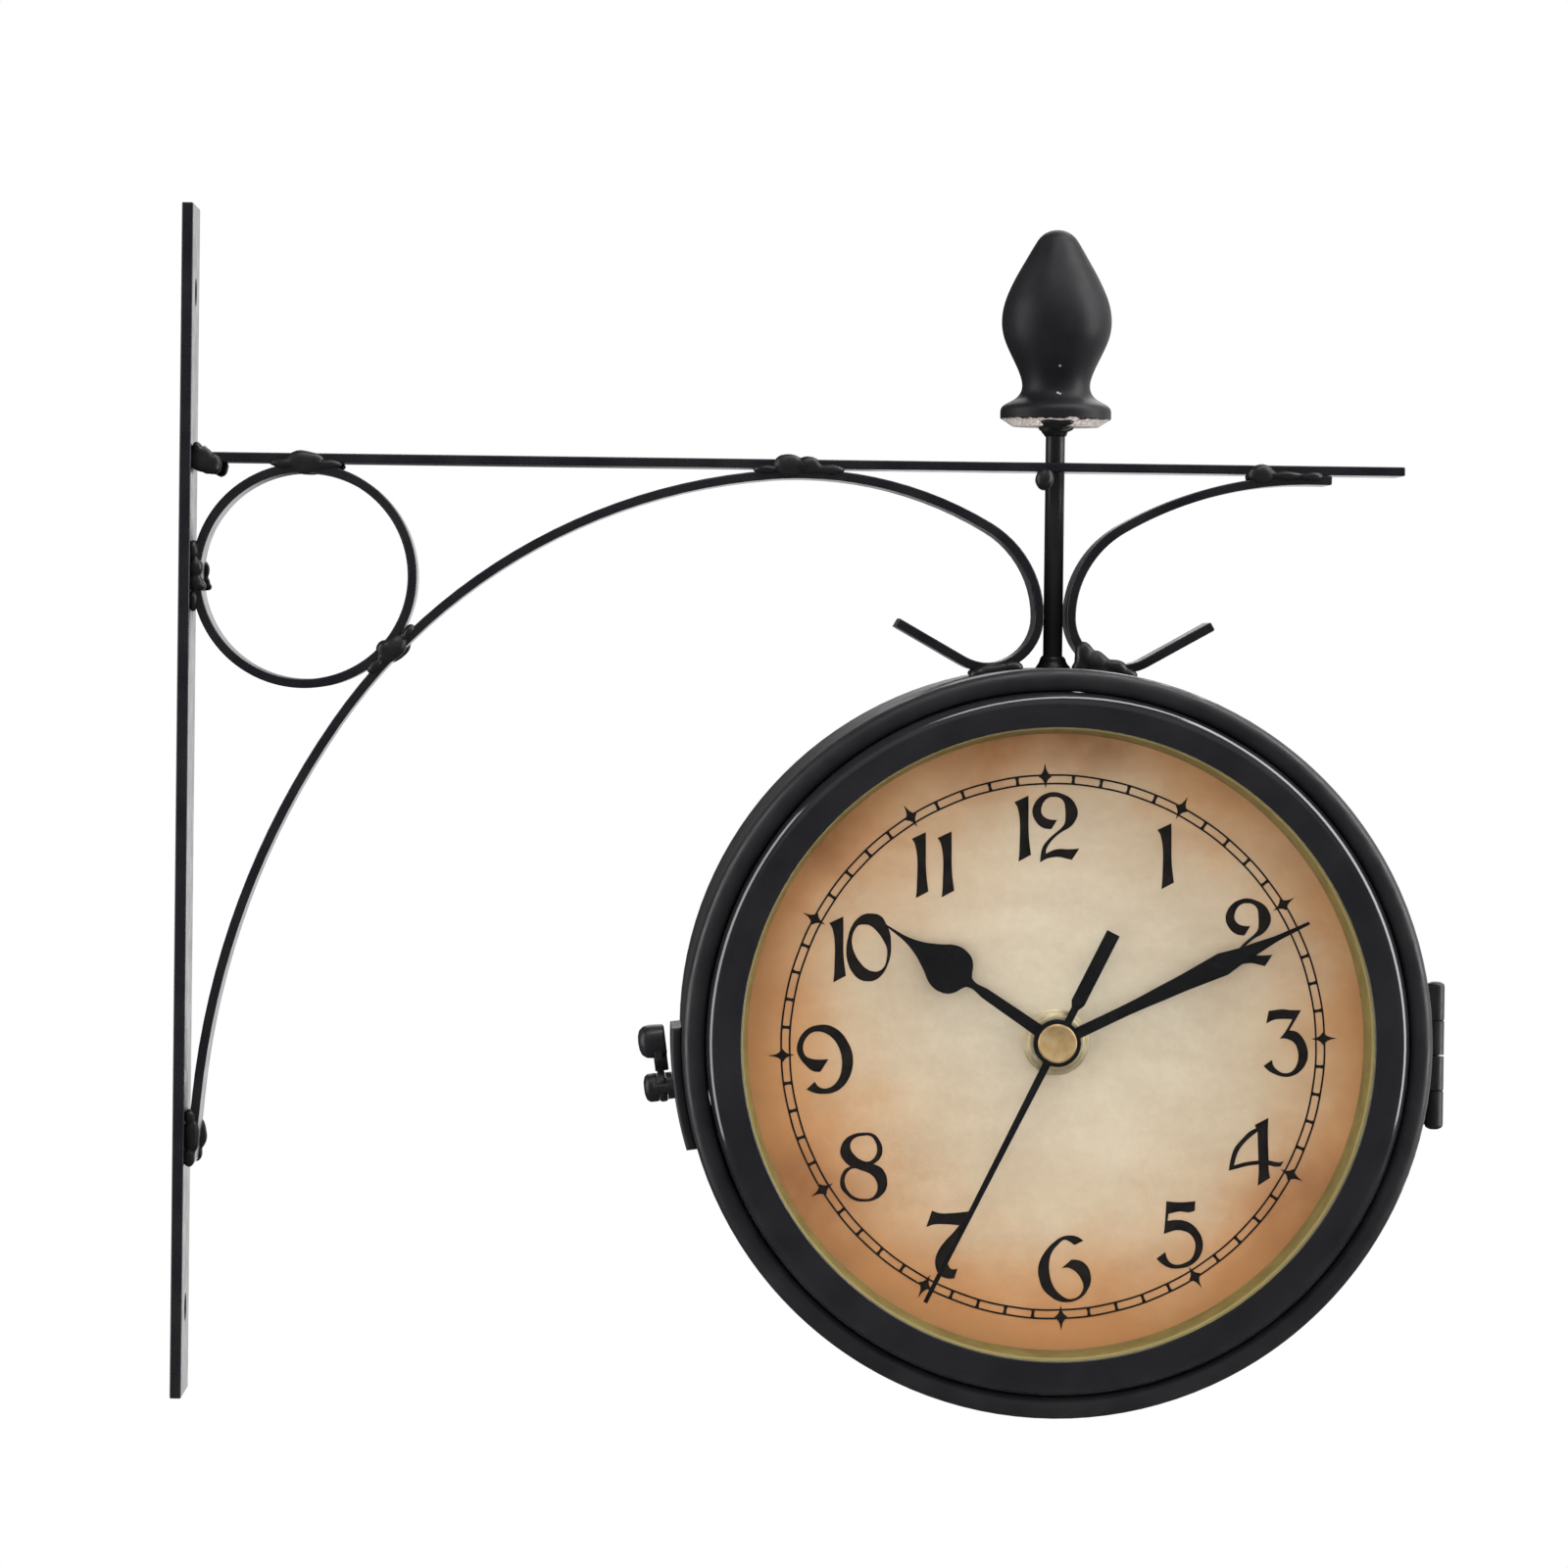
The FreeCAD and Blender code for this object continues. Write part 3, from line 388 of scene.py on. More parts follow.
# %% Glass
clear_glass, tree, shader, place = finish("clear_glass", Transmission_Weight=1.0, IOR=1.46)
plug(tree, shader, {
    "Base Color": mix(tree, cloud(tree, place, 30, 0.0, 1.0), (0.99, 1.0, 0.995, 1), (1.0, 1.0, 1.0, 1)),
    "Roughness": cloud(tree, place, 20, 0.0, 0.012)})
passing = put(tree, "LightPath").outputs["Is Shadow Ray"]
clear = put(tree, "BsdfTransparent")
both = put(tree, "MixShader", {0: passing, 1: shader.outputs[0], 2: clear.outputs[0]})
tree.links.new(both.outputs[0], tree.nodes["Material Output"].inputs["Surface"])
print("glass made")

# %% [markdown]
# Inside the drum each clock has a moulded black movement with nylon wheels, a plain sleeved cell, a
# green board with its copper coil, and spring contacts. They show only with the door open, so each
# finish is a short tree, and the cell and the board are coloured by place instead of by more pieces.

# %% Movement finishes
def moulded(name, dark, light, roughness):
    """Injection-moulded plastic with a fine spark-eroded skin."""
    made, tree, shader, place = finish(name)
    plug(tree, shader, {
        "Base Color": mix(tree, cloud(tree, place, 12, 0.0, 1.0), dark, light),
        "Roughness": cloud(tree, place, 3, roughness - 0.05, roughness + 0.05),
        "Normal": bump(tree, cloud(tree, place, 0.35, 0.0, 1.0), 0.012)})
    return made


black_plastic = moulded("black_plastic", srgb(26, 26, 27), srgb(34, 34, 35), roughness=0.5)
white_plastic = moulded("white_plastic", srgb(222, 219, 208), srgb(235, 233, 224), roughness=0.45)

battery_can, tree, shader, place = finish("battery_can", Metallic=0.35)
cell_low, cell_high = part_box("front_battery")
along = put(tree, "SeparateXYZ", {"Vector": place}).outputs["X"]
reach = sums(tree, "ABSOLUTE", sums(tree, "SUBTRACT", along, HUB.x))
half = (cell_high.x - cell_low.x) / 2
sleeve = mix(tree, cloud(tree, place, 9, 0.0, 1.0), srgb(42, 58, 50), srgb(54, 70, 60))
band = mix(tree, fade(tree, along, HUB.x + half * 0.5, HUB.x + half * 0.51), sleeve, srgb(176, 128, 74))
plug(tree, shader, {
    "Base Color": mix(tree, fade(tree, reach, half * 0.935, half * 0.945), band, srgb(188, 188, 184)),
    "Roughness": cloud(tree, place, 4, 0.28, 0.36)})

circuit, tree, shader, place = finish("circuit")
board_face = -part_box("front_motor_board")[0].y
on_board = fade(tree, from_split(tree, place), board_face - 1.8 * MM, board_face - 1.6 * MM)
green = mix(tree, cloud(tree, place, 2, 0.0, 1.0), srgb(34, 82, 52), srgb(52, 104, 66))
plug(tree, shader, {
    "Base Color": mix(tree, on_board, srgb(168, 96, 52), green),
    "Roughness": cloud(tree, place, 2, 0.35, 0.5)})
print("movement finishes made")

# %% [markdown]
# The record already names the finish of every node, so each CAD piece takes the material of its slot.
# The drum, its fittings and the post share a slot with the bracket or the springs but are painted satin,
# so they are dressed again.

# %% Dress the CAD pieces
FINISHES = {m.name: m for m in (
    black_paint, matte_black_cast, weld_metal, clear_glass, gold_ring, aged_paper_dial, spring_steel,
    black_plastic, white_plastic, brass, battery_can, circuit, black_hands)}


def dress(piece, material):
    """Gives a piece one material."""
    piece.data.materials.clear()
    piece.data.materials.append(material)


for subpart in frame["record"]["subparts"]:
    dress(nodes[subpart["node"]], FINISHES[subpart["material_slot"]])
CASES = ("front_case", "rear_case")
FITTINGS = ("post", "latch_plate", "keeper_plate", "latch_hook", "latch_pivot", "keeper_stud",
            "hinge_leaf_front", "hinge_leaf_rear", "hinge_pin")
for name in CASES + FITTINGS:
    dress(nodes[name], satin_black)
print("dressed", len(nodes), "pieces in", len(FINISHES), "finishes")

# %% [markdown]
# Cut steel never keeps a knife edge under paint. Each sharp edge of the strips, the hinge and the latch
# gets a narrow round, which draws the thin light line that tells the eye where the edge is. The edges
# could be rounded in the CAD, but a live Bevel is quick to try at other widths. The CAD's mesh comes as
# loose triangles, so a Weld modifier joins them first. The wall bar is round-edged in the CAD already,
# and the drum's halves only have their shading worked out anew between their true corners.

# %% Rounded edges
ROUNDS = {
    "arm_bar": 0.3, "corner_ring": 0.3, "brace_scroll": 0.3, "end_scroll": 0.3, "latch_plate": 0.7,
    "keeper_plate": 0.7, "latch_hook": 0.3, "hinge_leaf_front": 0.3, "hinge_leaf_rear": 0.3}
MERGE = 0.001


def welded(name):
    """A node's modifiers, with its loose triangles joined."""
    stack = nodes[name].modifiers
    stack.new("weld", "WELD").merge_threshold = MERGE * MM
    return stack


for name, width in ROUNDS.items():
    stack = welded(name)
    round_edge = stack.new("round_edge", "BEVEL")
    round_edge.width = width * MM
    round_edge.segments = 3
    round_edge.angle_limit = math.radians(50)
    stack.new("shading", "WEIGHTED_NORMAL")
for name in CASES:
    stack = welded(name)
    stack.new("corners", "EDGE_SPLIT").split_angle = math.radians(35)
    stack.new("shading", "WEIGHTED_NORMAL")
print("rounded", len(ROUNDS), "pieces")

# %% [markdown]
# The dial's figures are slim and a little hand-drawn, with flared ends. A font would give other shapes,
# so each numeral is an outline of curve points about its own middle: a third value marks a sharp corner,
# and a second or third outline is a hole. The ink has spread a little, which moves every outline by a
# tenth of a millimetre. The filled curve is made a mesh as thin as ink. The front dial's print was put on
# slightly turned and off its middle.

# %% Numerals
NUMERALS = {
    "1": [
        [(-1.3, 4.8, 1), (1.2, 5.9, 1), (1.1, 3.9), (1, -1.3), (1.3, -4.8, 1), (-0.9, -5.9, 1),
         (-0.6, -3.9), (-0.7, 3.8)],
    ],
    "2": [
        [(0.2, 1.3, 1), (-0.9, 1.3), (-1.9, 1.7), (-2.6, 2.6), (-2.6, 3.6), (-2.1, 4.7), (-1.3, 5.4),
         (-0.2, 5.6), (1, 5.3), (1.7, 4.5), (1.9, 3.3), (1.9, 1.8), (1.7, 0.6), (1.1, -0.2), (0, -1.1),
         (-1.4, -2.3), (-2.4, -3.6), (-2.8, -4.9), (-3, -6.3, 1), (-2, -5.7), (-0.7, -5.4),
         (0.6, -5.4), (1.7, -5.7), (2.7, -6, 1), (4.1, -4, 1), (3.2, -4.2), (2, -4.2), (0.6, -4.1),
         (-0.6, -4.3), (-2, -4.9, 1), (-1.9, -3.9), (-1.3, -2.9), (-0.3, -1.8), (1.1, -0.8),
         (2.4, -0.1), (3.4, 0.9), (4, 2.5), (3.7, 3.8), (2.9, 5), (1.4, 5.9), (-0.2, 6.3), (-1.5, 6.1),
         (-2.8, 5.4), (-3.8, 4.1), (-4.1, 2.8), (-3.5, 1.1), (-2.3, 0), (-0.9, -0.3, 1)],
    ],
    "3": [
        [(-2.8, 5.9, 1), (-1.6, 6), (-0.3, 6.1), (1.1, 5.9), (3, 5.9, 1), (1.9, 4.2), (0.7, 2.3, 1),
         (2.1, 1.9), (3.2, 0.7), (3.9, -1.1), (4, -2.4), (3.6, -3.8), (2.6, -5.1), (1.3, -5.9),
         (-0.2, -6.1), (-1.7, -5.7), (-3, -5), (-4, -4.1, 1), (-2.5, -3.1, 1), (-2.4, -4),
         (-1.7, -4.9), (-0.2, -5.6), (1.2, -5.2), (2, -4.2), (2.4, -2.8), (2.3, -1.3), (1.8, -0.1),
         (0.9, 0.6), (0, 0.9), (-0.9, 0.8, 1), (0.2, 2.1), (1.5, 4.3, 1), (-0.3, 4.5), (-1.9, 4.4),
         (-3.3, 3.7, 1)],
    ],
    "4": [
        [(0, 4.9, 1), (2.4, 6.1, 1), (2.2, 3.4), (2.2, -1.6, 1), (3.5, -2), (4.3, -2.1), (5, -1.8, 1),
         (4.4, -2.7, 1), (3.5, -2.7), (2.2, -2.4, 1), (2.2, -3.8), (2.4, -4.7, 1), (0.2, -6.1, 1),
         (0.5, -3.8), (0.5, -2.2, 1), (-1.7, -2.4), (-3.5, -2.8), (-5, -3.2, 1), (-4.5, -1),
         (-3.8, 0.8), (-2.3, 2.5), (-1, 3.7), (0.2, 4.3, 1)],
        [(0.5, 3.7, 1), (-0.6, 3.1), (-1.9, 2), (-3.2, 0.4), (-3.8, -1), (-4.1, -2.4, 1), (-2, -1.9),
         (0.5, -1.6, 1)],
    ],
    "5": [
        [(-2.1, 6.1, 1), (0.2, 5.8), (3.1, 5.9, 1), (2.9, 4.3, 1), (1.9, 4.1), (0.2, 4.3),
         (-1.9, 3.9, 1), (-2.1, 2.5, 1), (-0.5, 2.6), (1, 2.4), (2.4, 1.7), (3.5, 0.4), (4.1, -1),
         (4.2, -2.2), (3.8, -3.7), (2.9, -4.9), (1.5, -5.8), (-0.1, -6.1), (-1.7, -6), (-3.1, -5.3),
         (-4.2, -4.3, 1), (-2.6, -3.2, 1), (-2.4, -4.3), (-1.6, -5.3), (-0.5, -5.6), (0.9, -5.3),
         (2.2, -4.5), (2.8, -3.3), (3, -1.9), (2.7, -0.8), (1.9, 0.2), (0.9, 0.7), (-0.4, 0.9),
         (-1.5, 0.7), (-2.7, 0.2, 1), (-2.4, 2.5)],
    ],
    "6": [
        [(3.6, 5.1, 1), (2.6, 5.7), (1.4, 6), (-0.2, 5.8), (-1.8, 4.8), (-3.2, 3.4), (-4.3, 1.6),
         (-4.7, -0.1), (-4.5, -1.8), (-3.9, -3.5), (-2.7, -4.8), (-1.3, -5.7), (0.2, -6), (1.7, -5.8),
         (3.1, -5.1), (4.1, -3.9), (4.7, -2.5), (4.7, -1.2), (4.3, 0.1), (3.4, 1.1), (2.4, 1.5),
         (1.4, 1.6, 1), (-0.4, 0.1, 1), (0.6, 0.3), (1.6, -0.1), (2.4, -0.8), (3.2, -2.1), (3.5, -3.3),
         (3.2, -4.3), (2.4, -5.2), (1.3, -5.6), (0.3, -5.5), (-0.8, -4.8), (-1.8, -3.7), (-2.5, -2.2),
         (-2.8, -0.6), (-2.8, 1.3), (-2.2, 3.2), (-1, 4.6), (0.2, 5.4), (1.1, 5.1), (2, 4.4, 1)],
    ],
    "7": [
        [(-2.8, 6.2, 1), (-1.6, 5.7), (0.7, 5.6), (2.4, 5.7), (3.9, 5.9, 1), (3, 4.1), (1.6, 1.3),
         (0.3, -0.8), (-0.4, -2.6), (-0.2, -3.9), (0.4, -4.6), (1.4, -4.5, 1), (0.8, -6.2, 1),
         (-0.5, -6.1), (-1.8, -5.4), (-2.4, -4), (-2.4, -2.6), (-1.8, -1.1), (-0.6, 0.5), (1, 2.1),
         (2.1, 3.5, 1), (-0.5, 3.8), (-2.6, 3.8), (-3.9, 3.3, 1)],
    ],
    "8": [
        [(0.1, 6.2), (2, 5.9), (3.1, 4.6), (3.5, 3.1), (3, 1.5), (1.8, 0.5, 1), (3.1, -0.2),
         (3.9, -1.3), (4.2, -2.6), (4, -4), (3.1, -5.2), (1.7, -6), (0, -6.2), (-1.8, -5.9),
         (-3.2, -4.8), (-4.1, -3.6), (-4.2, -2.4), (-3.9, -1.3), (-3.2, -0.3), (-2.3, 0.2, 1),
         (-3.3, 1.2), (-4, 2.5), (-3.9, 3.7), (-3.2, 5), (-1.8, 5.9)],
        [(0.1, 5.8), (1.5, 5.7), (2.3, 4.8), (2.7, 3.5), (2.5, 2.2), (1.8, 1.3), (0.9, 0.9),
         (-0.5, 1.3), (-1.6, 2.2), (-2.3, 3.4), (-2.2, 4.6), (-1.3, 5.5)],
        [(-1.8, -0.1), (-0.3, -0.5), (1.4, -1.3), (2.3, -2.4), (2.6, -3.6), (2.3, -4.8), (1.4, -5.7),
         (0, -5.9), (-1.7, -5.5), (-2.9, -4.4), (-3.5, -3), (-3.5, -1.8), (-2.9, -0.7)],
    ],
    "9": [
        [(0.5, 0, 1), (-1, -2.2, 1), (-2.2, -2), (-3.6, -0.8), (-4.6, 0.6), (-5, 1.8), (-4.8, 3.2),
         (-3.9, 4.8), (-2.6, 5.8), (-1, 6.2), (0.4, 6.2), (1.9, 5.6), (3.2, 4.5), (4.2, 2.9),
         (4.8, 1.4), (5, -0.4), (4.7, -2.2), (3.9, -4), (2.7, -5.3), (1.3, -6), (-0.4, -6.2), (-2, -6),
         (-3.5, -5.4, 1), (-2, -4.1, 1), (-1.4, -5), (-0.4, -5.4), (0.8, -5.2), (1.9, -4.4),
         (2.7, -3.1), (3.1, -1.4), (3.1, 0.3), (2.6, 2.2), (1.6, 3.8), (0.3, 4.8), (-1, 5.2),
         (-2.3, 5), (-3.3, 4.2), (-4, 2.8), (-4, 1.6), (-3.5, 0.6), (-2.5, 0.1), (-1.2, -0.1)],
    ],
    "0": [
        [(0.4, 6.1), (2.3, 5.6), (3.3, 4), (3.9, 2.3), (4, 0.6), (3.9, -1.2), (3.3, -3.2), (2.3, -4.9),
         (1, -5.9), (-0.2, -6.1), (-1.6, -5.8), (-2.9, -4.6), (-3.8, -2.6), (-4, -0.3), (-3.6, 2),
         (-2.9, 3.9), (-1.8, 5.3), (-0.6, 6)],
        [(-0.9, 4.3), (0.3, 4.1), (1.6, 3), (2.7, 1.4), (3.4, -0.3), (3.3, -2.1), (2.8, -3.6),
         (1.8, -4.4), (0.8, -4.5), (-0.5, -4), (-1.6, -2.9), (-2.6, -1.2), (-3.1, 0.6), (-3, 2.2),
         (-2.4, 3.5), (-1.7, 4.2)],
    ],
}

PLACES = [
    ("1", -4.9, 39.1), ("2", 1.16, 39.2), ("1", 21.04, 33.26), ("2", 35.87, 18.74), ("3", 41.93, -1.49),
    ("4", 36.0, -21.24), ("5", 21.54, -35.87), ("6", 0.36, -41.5), ("7", -20.62, -36.34),
    ("8", -35.77, -21.74), ("9", -42.14, -1.86), ("1", -39.3, 18.1), ("0", -33.6, 18.3),
    ("1", -23.8, 33.0), ("1", -19.1, 33.0)]
PRINT_TURN = 2.4
PRINT_MIDDLE = Vector((-0.5, -0.9))
INK_THICKNESS = 0.04
INK_SPREAD = 0.1


def only(piece):
    """Makes a piece the one selected object, for the operators that follow."""
    bpy.ops.object.select_all(action="DESELECT")
    piece.select_set(True)
    bpy.context.view_layer.objects.active = piece


def drawn(name, outlines, thickness, round_over=0.0):
    """A flat shape from closed outlines in millimetres, filled and made a mesh of the given thickness."""
    curve = bpy.data.curves.new(name, "CURVE")
    curve.dimensions = "2D"
    curve.fill_mode = "BOTH"
    curve.extrude = (thickness / 2 - round_over) * MM
    curve.bevel_depth = round_over * MM
    for outline in outlines:
        spline = curve.splines.new("BEZIER")
        spline.bezier_points.add(len(outline) - 1)
        spline.use_cyclic_u = True
        for point, (across, up, *corner) in zip(spline.bezier_points, outline):
            point.co = (across * MM, up * MM, 0)
            point.handle_left_type = point.handle_right_type = "VECTOR" if corner else "AUTO"
    piece = bpy.data.objects.new(name, curve)
    scene.collection.objects.link(piece)
    only(piece)
    bpy.ops.object.convert(target="MESH")
    return piece


def face_front(piece, depth, turn=0.0):
    """Stands a flat shape up on the drum's axis at a depth, turned clockwise, and applies the place."""
    only(piece)
    piece.matrix_world = (
        Matrix.Translation((HUB.x, depth, HUB.z)) @ Matrix.Rotation(math.radians(90), 4, "X")
        @ Matrix.Rotation(math.radians(-turn), 4, "Z"))
    bpy.ops.object.transform_apply(location=True, rotation=True, scale=True)


def give(piece, body, material, stands_for=None):
    """The last step of a piece: its finish, the body it moves with and the node it stands for."""
    dress(piece, material)
    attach(piece, body)
    if stands_for:
        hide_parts(stands_for)


def rear_copy(piece, name):
    """The same piece on the other clock: a copy turned half round about the drum's upright axis."""
    only(piece)
    bpy.ops.object.duplicate()
    copy = bpy.context.object
    copy.name = name
    to_axis, back = Matrix.Translation((-HUB.x, 0, 0)), Matrix.Translation((HUB.x, 0, 0))
    copy.matrix_world = back @ Matrix.Rotation(math.pi, 4, "Z") @ to_axis
    bpy.ops.object.transform_apply(location=True, rotation=True, scale=True)
    return copy


def moved(outline, across, up):
    """An outline shifted to its place."""
    return [(x + across, y + up, *corner) for x, y, *corner in outline]


def spread_ink(outline, spread):
    """An outline moved outwards by the spread, or inwards by a negative one, in hundredths."""
    before, after = outline[-1:] + outline[:-1], outline[1:] + outline[:1]
    area = sum(x * ahead[1] - ahead[0] * y for (x, y, *_), ahead in zip(outline, after))
    out = spread if area > 0 else -spread
    wide = []
    for (x, y, *corner), back, ahead in zip(outline, before, after):
        run, rise = ahead[0] - back[0], ahead[1] - back[1]
        length = math.hypot(run, rise)
        wide.append((round(x + rise / length * out, 2), round(y - run / length * out, 2), *corner))
    return wide


outlines = []
for digit, across, up in PLACES:
    for order, loop in enumerate(NUMERALS[digit]):
        spread = -INK_SPREAD if order else INK_SPREAD
        outlines.append(moved(spread_ink(loop, spread), across, up))
ink_depth = dial_low.y - INK_THICKNESS / 2 * MM
numerals = drawn("front_numerals", outlines, INK_THICKNESS)
face_front(numerals, ink_depth, -PRINT_TURN)
give(numerals, "front_door", ink)
give(rear_copy(numerals, "rear_numerals"), "bracket", ink)
print("numerals", len(numerals.data.polygons), "faces")

# %% [markdown]
# Round the figures runs the minute track: two fine circles, a short stroke for each minute and a
# four-pointed star with hollow sides for each hour. One stroke and one star are drawn and repeated. The
# strokes lie a hair deeper than the circles and the stars a hair higher, so that no two faces coincide.

# %% Minute track
TRACK = (49.6, 48.05)
LINE = 0.34
STROKE_SHARE, STAR_SHARE = 0.8, 1.3


def ring(radius, across=0.0, up=0.0, points=16):
    """A round outline."""
    turns = [2 * math.pi * i / points for i in range(points)]
    return [(across + radius * math.cos(t), up + radius * math.sin(t)) for t in turns]


def turned_outline(outline, clockwise):
    """An outline turned about the middle."""
    c, s = math.cos(math.radians(clockwise)), math.sin(math.radians(clockwise))
    return [(x * c + y * s, y * c - x * s, *corner) for x, y, *corner in outline]


STROKE = [(-0.4, 49.6, 1), (-0.26, 48.82), (-0.4, 48.05, 1), (0.4, 48.05, 1), (0.26, 48.82), (0.4, 49.6, 1)]
STAR = [(0, 51.9, 1), (0.42, 50.25), (1.2, 49.35, 1), (0.48, 48.7), (0, 47.2, 1), (-0.48, 48.7),
        (-1.2, 49.35, 1), (-0.42, 50.25)]


def all_round(outline, count, skip=0):
    """An outline repeated evenly about the print's middle, leaving out every skip-th."""
    return [moved(turned_outline(outline, 360 / count * i), *PRINT_MIDDLE)
            for i in range(count) if not skip or i % skip]


def joined(first, *others):
    """Several pieces made one."""
    only(first)
    for other in others:
        other.select_set(True)
    bpy.ops.object.join()
    return first


circles = [
    [ring(radius + edge, *PRINT_MIDDLE, 32) for edge in (LINE / 2, -LINE / 2)] for radius in TRACK]
track = joined(
    drawn("front_minute_track", circles[0], INK_THICKNESS), drawn("inner_circle", circles[1], INK_THICKNESS),
    drawn("strokes", all_round(STROKE, 60, 5), INK_THICKNESS * STROKE_SHARE),
    drawn("stars", all_round(STAR, 12), INK_THICKNESS * STAR_SHARE))
face_front(track, ink_depth, -PRINT_TURN)
give(track, "front_door", ink)
give(rear_copy(track, "rear_minute_track"), "bracket", ink)
print("track", len(track.data.polygons), "faces")

# %% [markdown]
# The hands are stamped from thin sheet and blacked. A cube could be pushed into shape, but a stamped
# blank is an outline, so each is given as half widths at distances from the hub; the outline runs out
# along one side, back along the other and round the hub. A rounded-over thickness gives the edge that
# catches the light.

# %% Hands
HUB_RADIUS = 4.3
HOUR = [
    (15.7, 0.98), (19.3, 0.9), (19.9, 1.6), (20.5, 2.8), (21.5, 3.9), (23, 4.45), (24.2, 4.5), (25.9, 3.95),
    (27, 3.2), (28.5, 2.33), (30.8, 1.23), (33.5, 0.5), (35.7, 0.28), (38, 0.16, 1)]
MINUTE = [
    (16, 1.1), (21, 1.35), (25.6, 1.55), (29, 1.8), (33.5, 2.15, 1), (36, 1.65), (38, 1.3), (40, 1.1),
    (44.4, 0.55), (47, 0.43), (50.9, 0.28, 1)]
SECOND = [(20, 0.6), (40, 0.48), (52.9, 0.38, 1)]
TAIL = [(7.2, 0.69, 1), (8.3, 1.28, 1), (22.5, 1.28, 1)]
ROUND_OVER = 0.06


def blade(profile, root):
    """Both sides of a blade that points up, starting and ending on the hub's circle."""
    foot = [(math.sqrt(HUB_RADIUS ** 2 - root ** 2), root, 1)]
    rows = [(d - ROUND_OVER, w - ROUND_OVER, *corner) for d, w, *corner in foot + profile]
    return [(w, d, *c) for d, w, *c in rows] + [(-w, d, *c) for d, w, *c in reversed(rows)]


def hub_arc(start, end):
    """Points round the hub between two angles, clockwise from up, ends left out."""
    steps = max(2, round(abs(end - start) / 24))
    angles = [math.radians(start + (end - start) * i / steps) for i in range(1, steps)]
    rim = HUB_RADIUS - ROUND_OVER
    return [(rim * math.sin(a), rim * math.cos(a)) for a in angles]


def spread_angle(root):
    """Half the angle that a blade's root takes up on the hub's circle."""
    return math.degrees(math.asin(root / HUB_RADIUS))


def hand(name, profile, root, angle, hole, tail=None, tail_root=0.0):
    """A hand in the place of its node, and its twin on the other clock."""
    open_at = spread_angle(root)
    outline = blade(profile, root)
    if tail:
        shut_at = 180 - spread_angle(tail_root)
        outline += hub_arc(-open_at, -shut_at)
        outline += [(-x, -y, *c) for x, y, *c in blade(tail, tail_root)]
        outline += hub_arc(shut_at, open_at)
    else:
        outline += hub_arc(-open_at, open_at - 360)
    low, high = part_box("front_" + name)
    thickness = (high.y - low.y) / MM
    made = drawn("front_" + name + "_cut", [outline, ring(hole, points=12)], thickness, ROUND_OVER)
    face_front(made, (low.y + high.y) / 2, angle)
    body = {"hour_hand": "hours", "minute_hand": "minutes", "second_hand": "seconds"}[name]
    twin = rear_copy(made, "rear_" + name + "_cut")
    give(made, "front_" + body, black_hands, "front_" + name)
    give(twin, "rear_" + body, black_hands, "rear_" + name)
    print(name, len(made.data.polygons), "faces")


hand("hour_hand", HOUR, root=1.15, angle=303.9, hole=2.6)
hand("minute_hand", MINUTE, root=1.05, angle=63.9, hole=1.7)
hand("second_hand", SECOND, root=0.72, angle=206.3, hole=0.7, tail=TAIL, tail_root=0.69)

# %% [markdown]
# The welds were run by hand and never dressed. They could be sculpted; here each joint is a cluster of
# small lumps on both edges of the strip, given by place, half length, half height and tilt. Remesh melts
# the lumps into one skin, which is then roughened and smoothed, as happened to the real metal.

# %% Weld metal
STRIP_EDGE = 6.6
LUMPS = [
    (3.7, 63.0, 2.5, 2.4, 0), (5.7, 62.3, 2.2, 1.9, 0), (6.3, 61.4, 1.3, 1.3, 0), (3.0, 65.0, 0.9, 1.3, 0),
    (22.9, 62.7, 4.0, 2.2, 0), (19.0, 62.5, 2.8, 0.9, 0), (26.9, 62.4, 2.8, 0.9, 0),
    (112.0, 63.2, 3.0, 2.3, 0), (115.6, 63.3, 2.3, 1.8, 0), (119.2, 62.6, 3.4, 1.0, 0),
    (108.0, 62.5, 2.6, 0.9, 0),
    (3.0, 43.0, 1.5, 2.0, 0), (3.0, 40.4, 1.5, 1.7, 0), (3.9, 39.7, 1.0, 0.8, 0), (2.6, 46.2, 0.9, 2.0, 0),
    (2.6, 36.8, 0.9, 1.9, 0),
    (39.3, 28.5, 3.4, 2.0, 47), (36.3, 25.4, 2.0, 1.2, 47), (42.2, 31.6, 1.7, 1.1, 47),
    (38.0, 28.6, 1.8, 1.5, 47),
    (3.4, -61.8, 1.6, 3.5, 0), (3.0, -58.3, 1.0, 1.5, 0), (3.0, -65.6, 1.2, 1.8, 0),
    (199.5, 62.7, 2.7, 1.8, 0), (204.0, 62.5, 3.8, 0.9, 0), (208.5, 62.5, 2.4, 0.9, 0),
    (150.6, 25.6, 4.4, 1.7, 8), (153.6, 26.2, 2.2, 1.5, 12), (147.8, 25.0, 2.2, 1.3, 0),
    (167.2, 28.4, 2.0, 3.0, 8), (169.4, 27.4, 3.2, 2.3, -28), (172.4, 26.6, 3.2, 1.6, -16),
    (166.6, 26.6, 1.7, 1.7, 0), (170.2, 25.8, 4.2, 1.6, -6), (175.0, 25.6, 2.2, 1.2, -8),
    (159.4, 61.4, 1.8, 2.0, 0)]
FRONT_DEPTH, REAR_DEPTH, REAR_SHARE = 1.5, 1.4, 0.9
POST_FOOT_X = 161.6
POST_FOOT = [(26.2, 3.3), (26.9, 2.7), (27.8, 2.4)]
SCROLL_FEET = [(149.4, 25.4), (173.8, 25.4)]
SCROLL_FOOT_SIZES = (3.6, 6.4, 0.9)


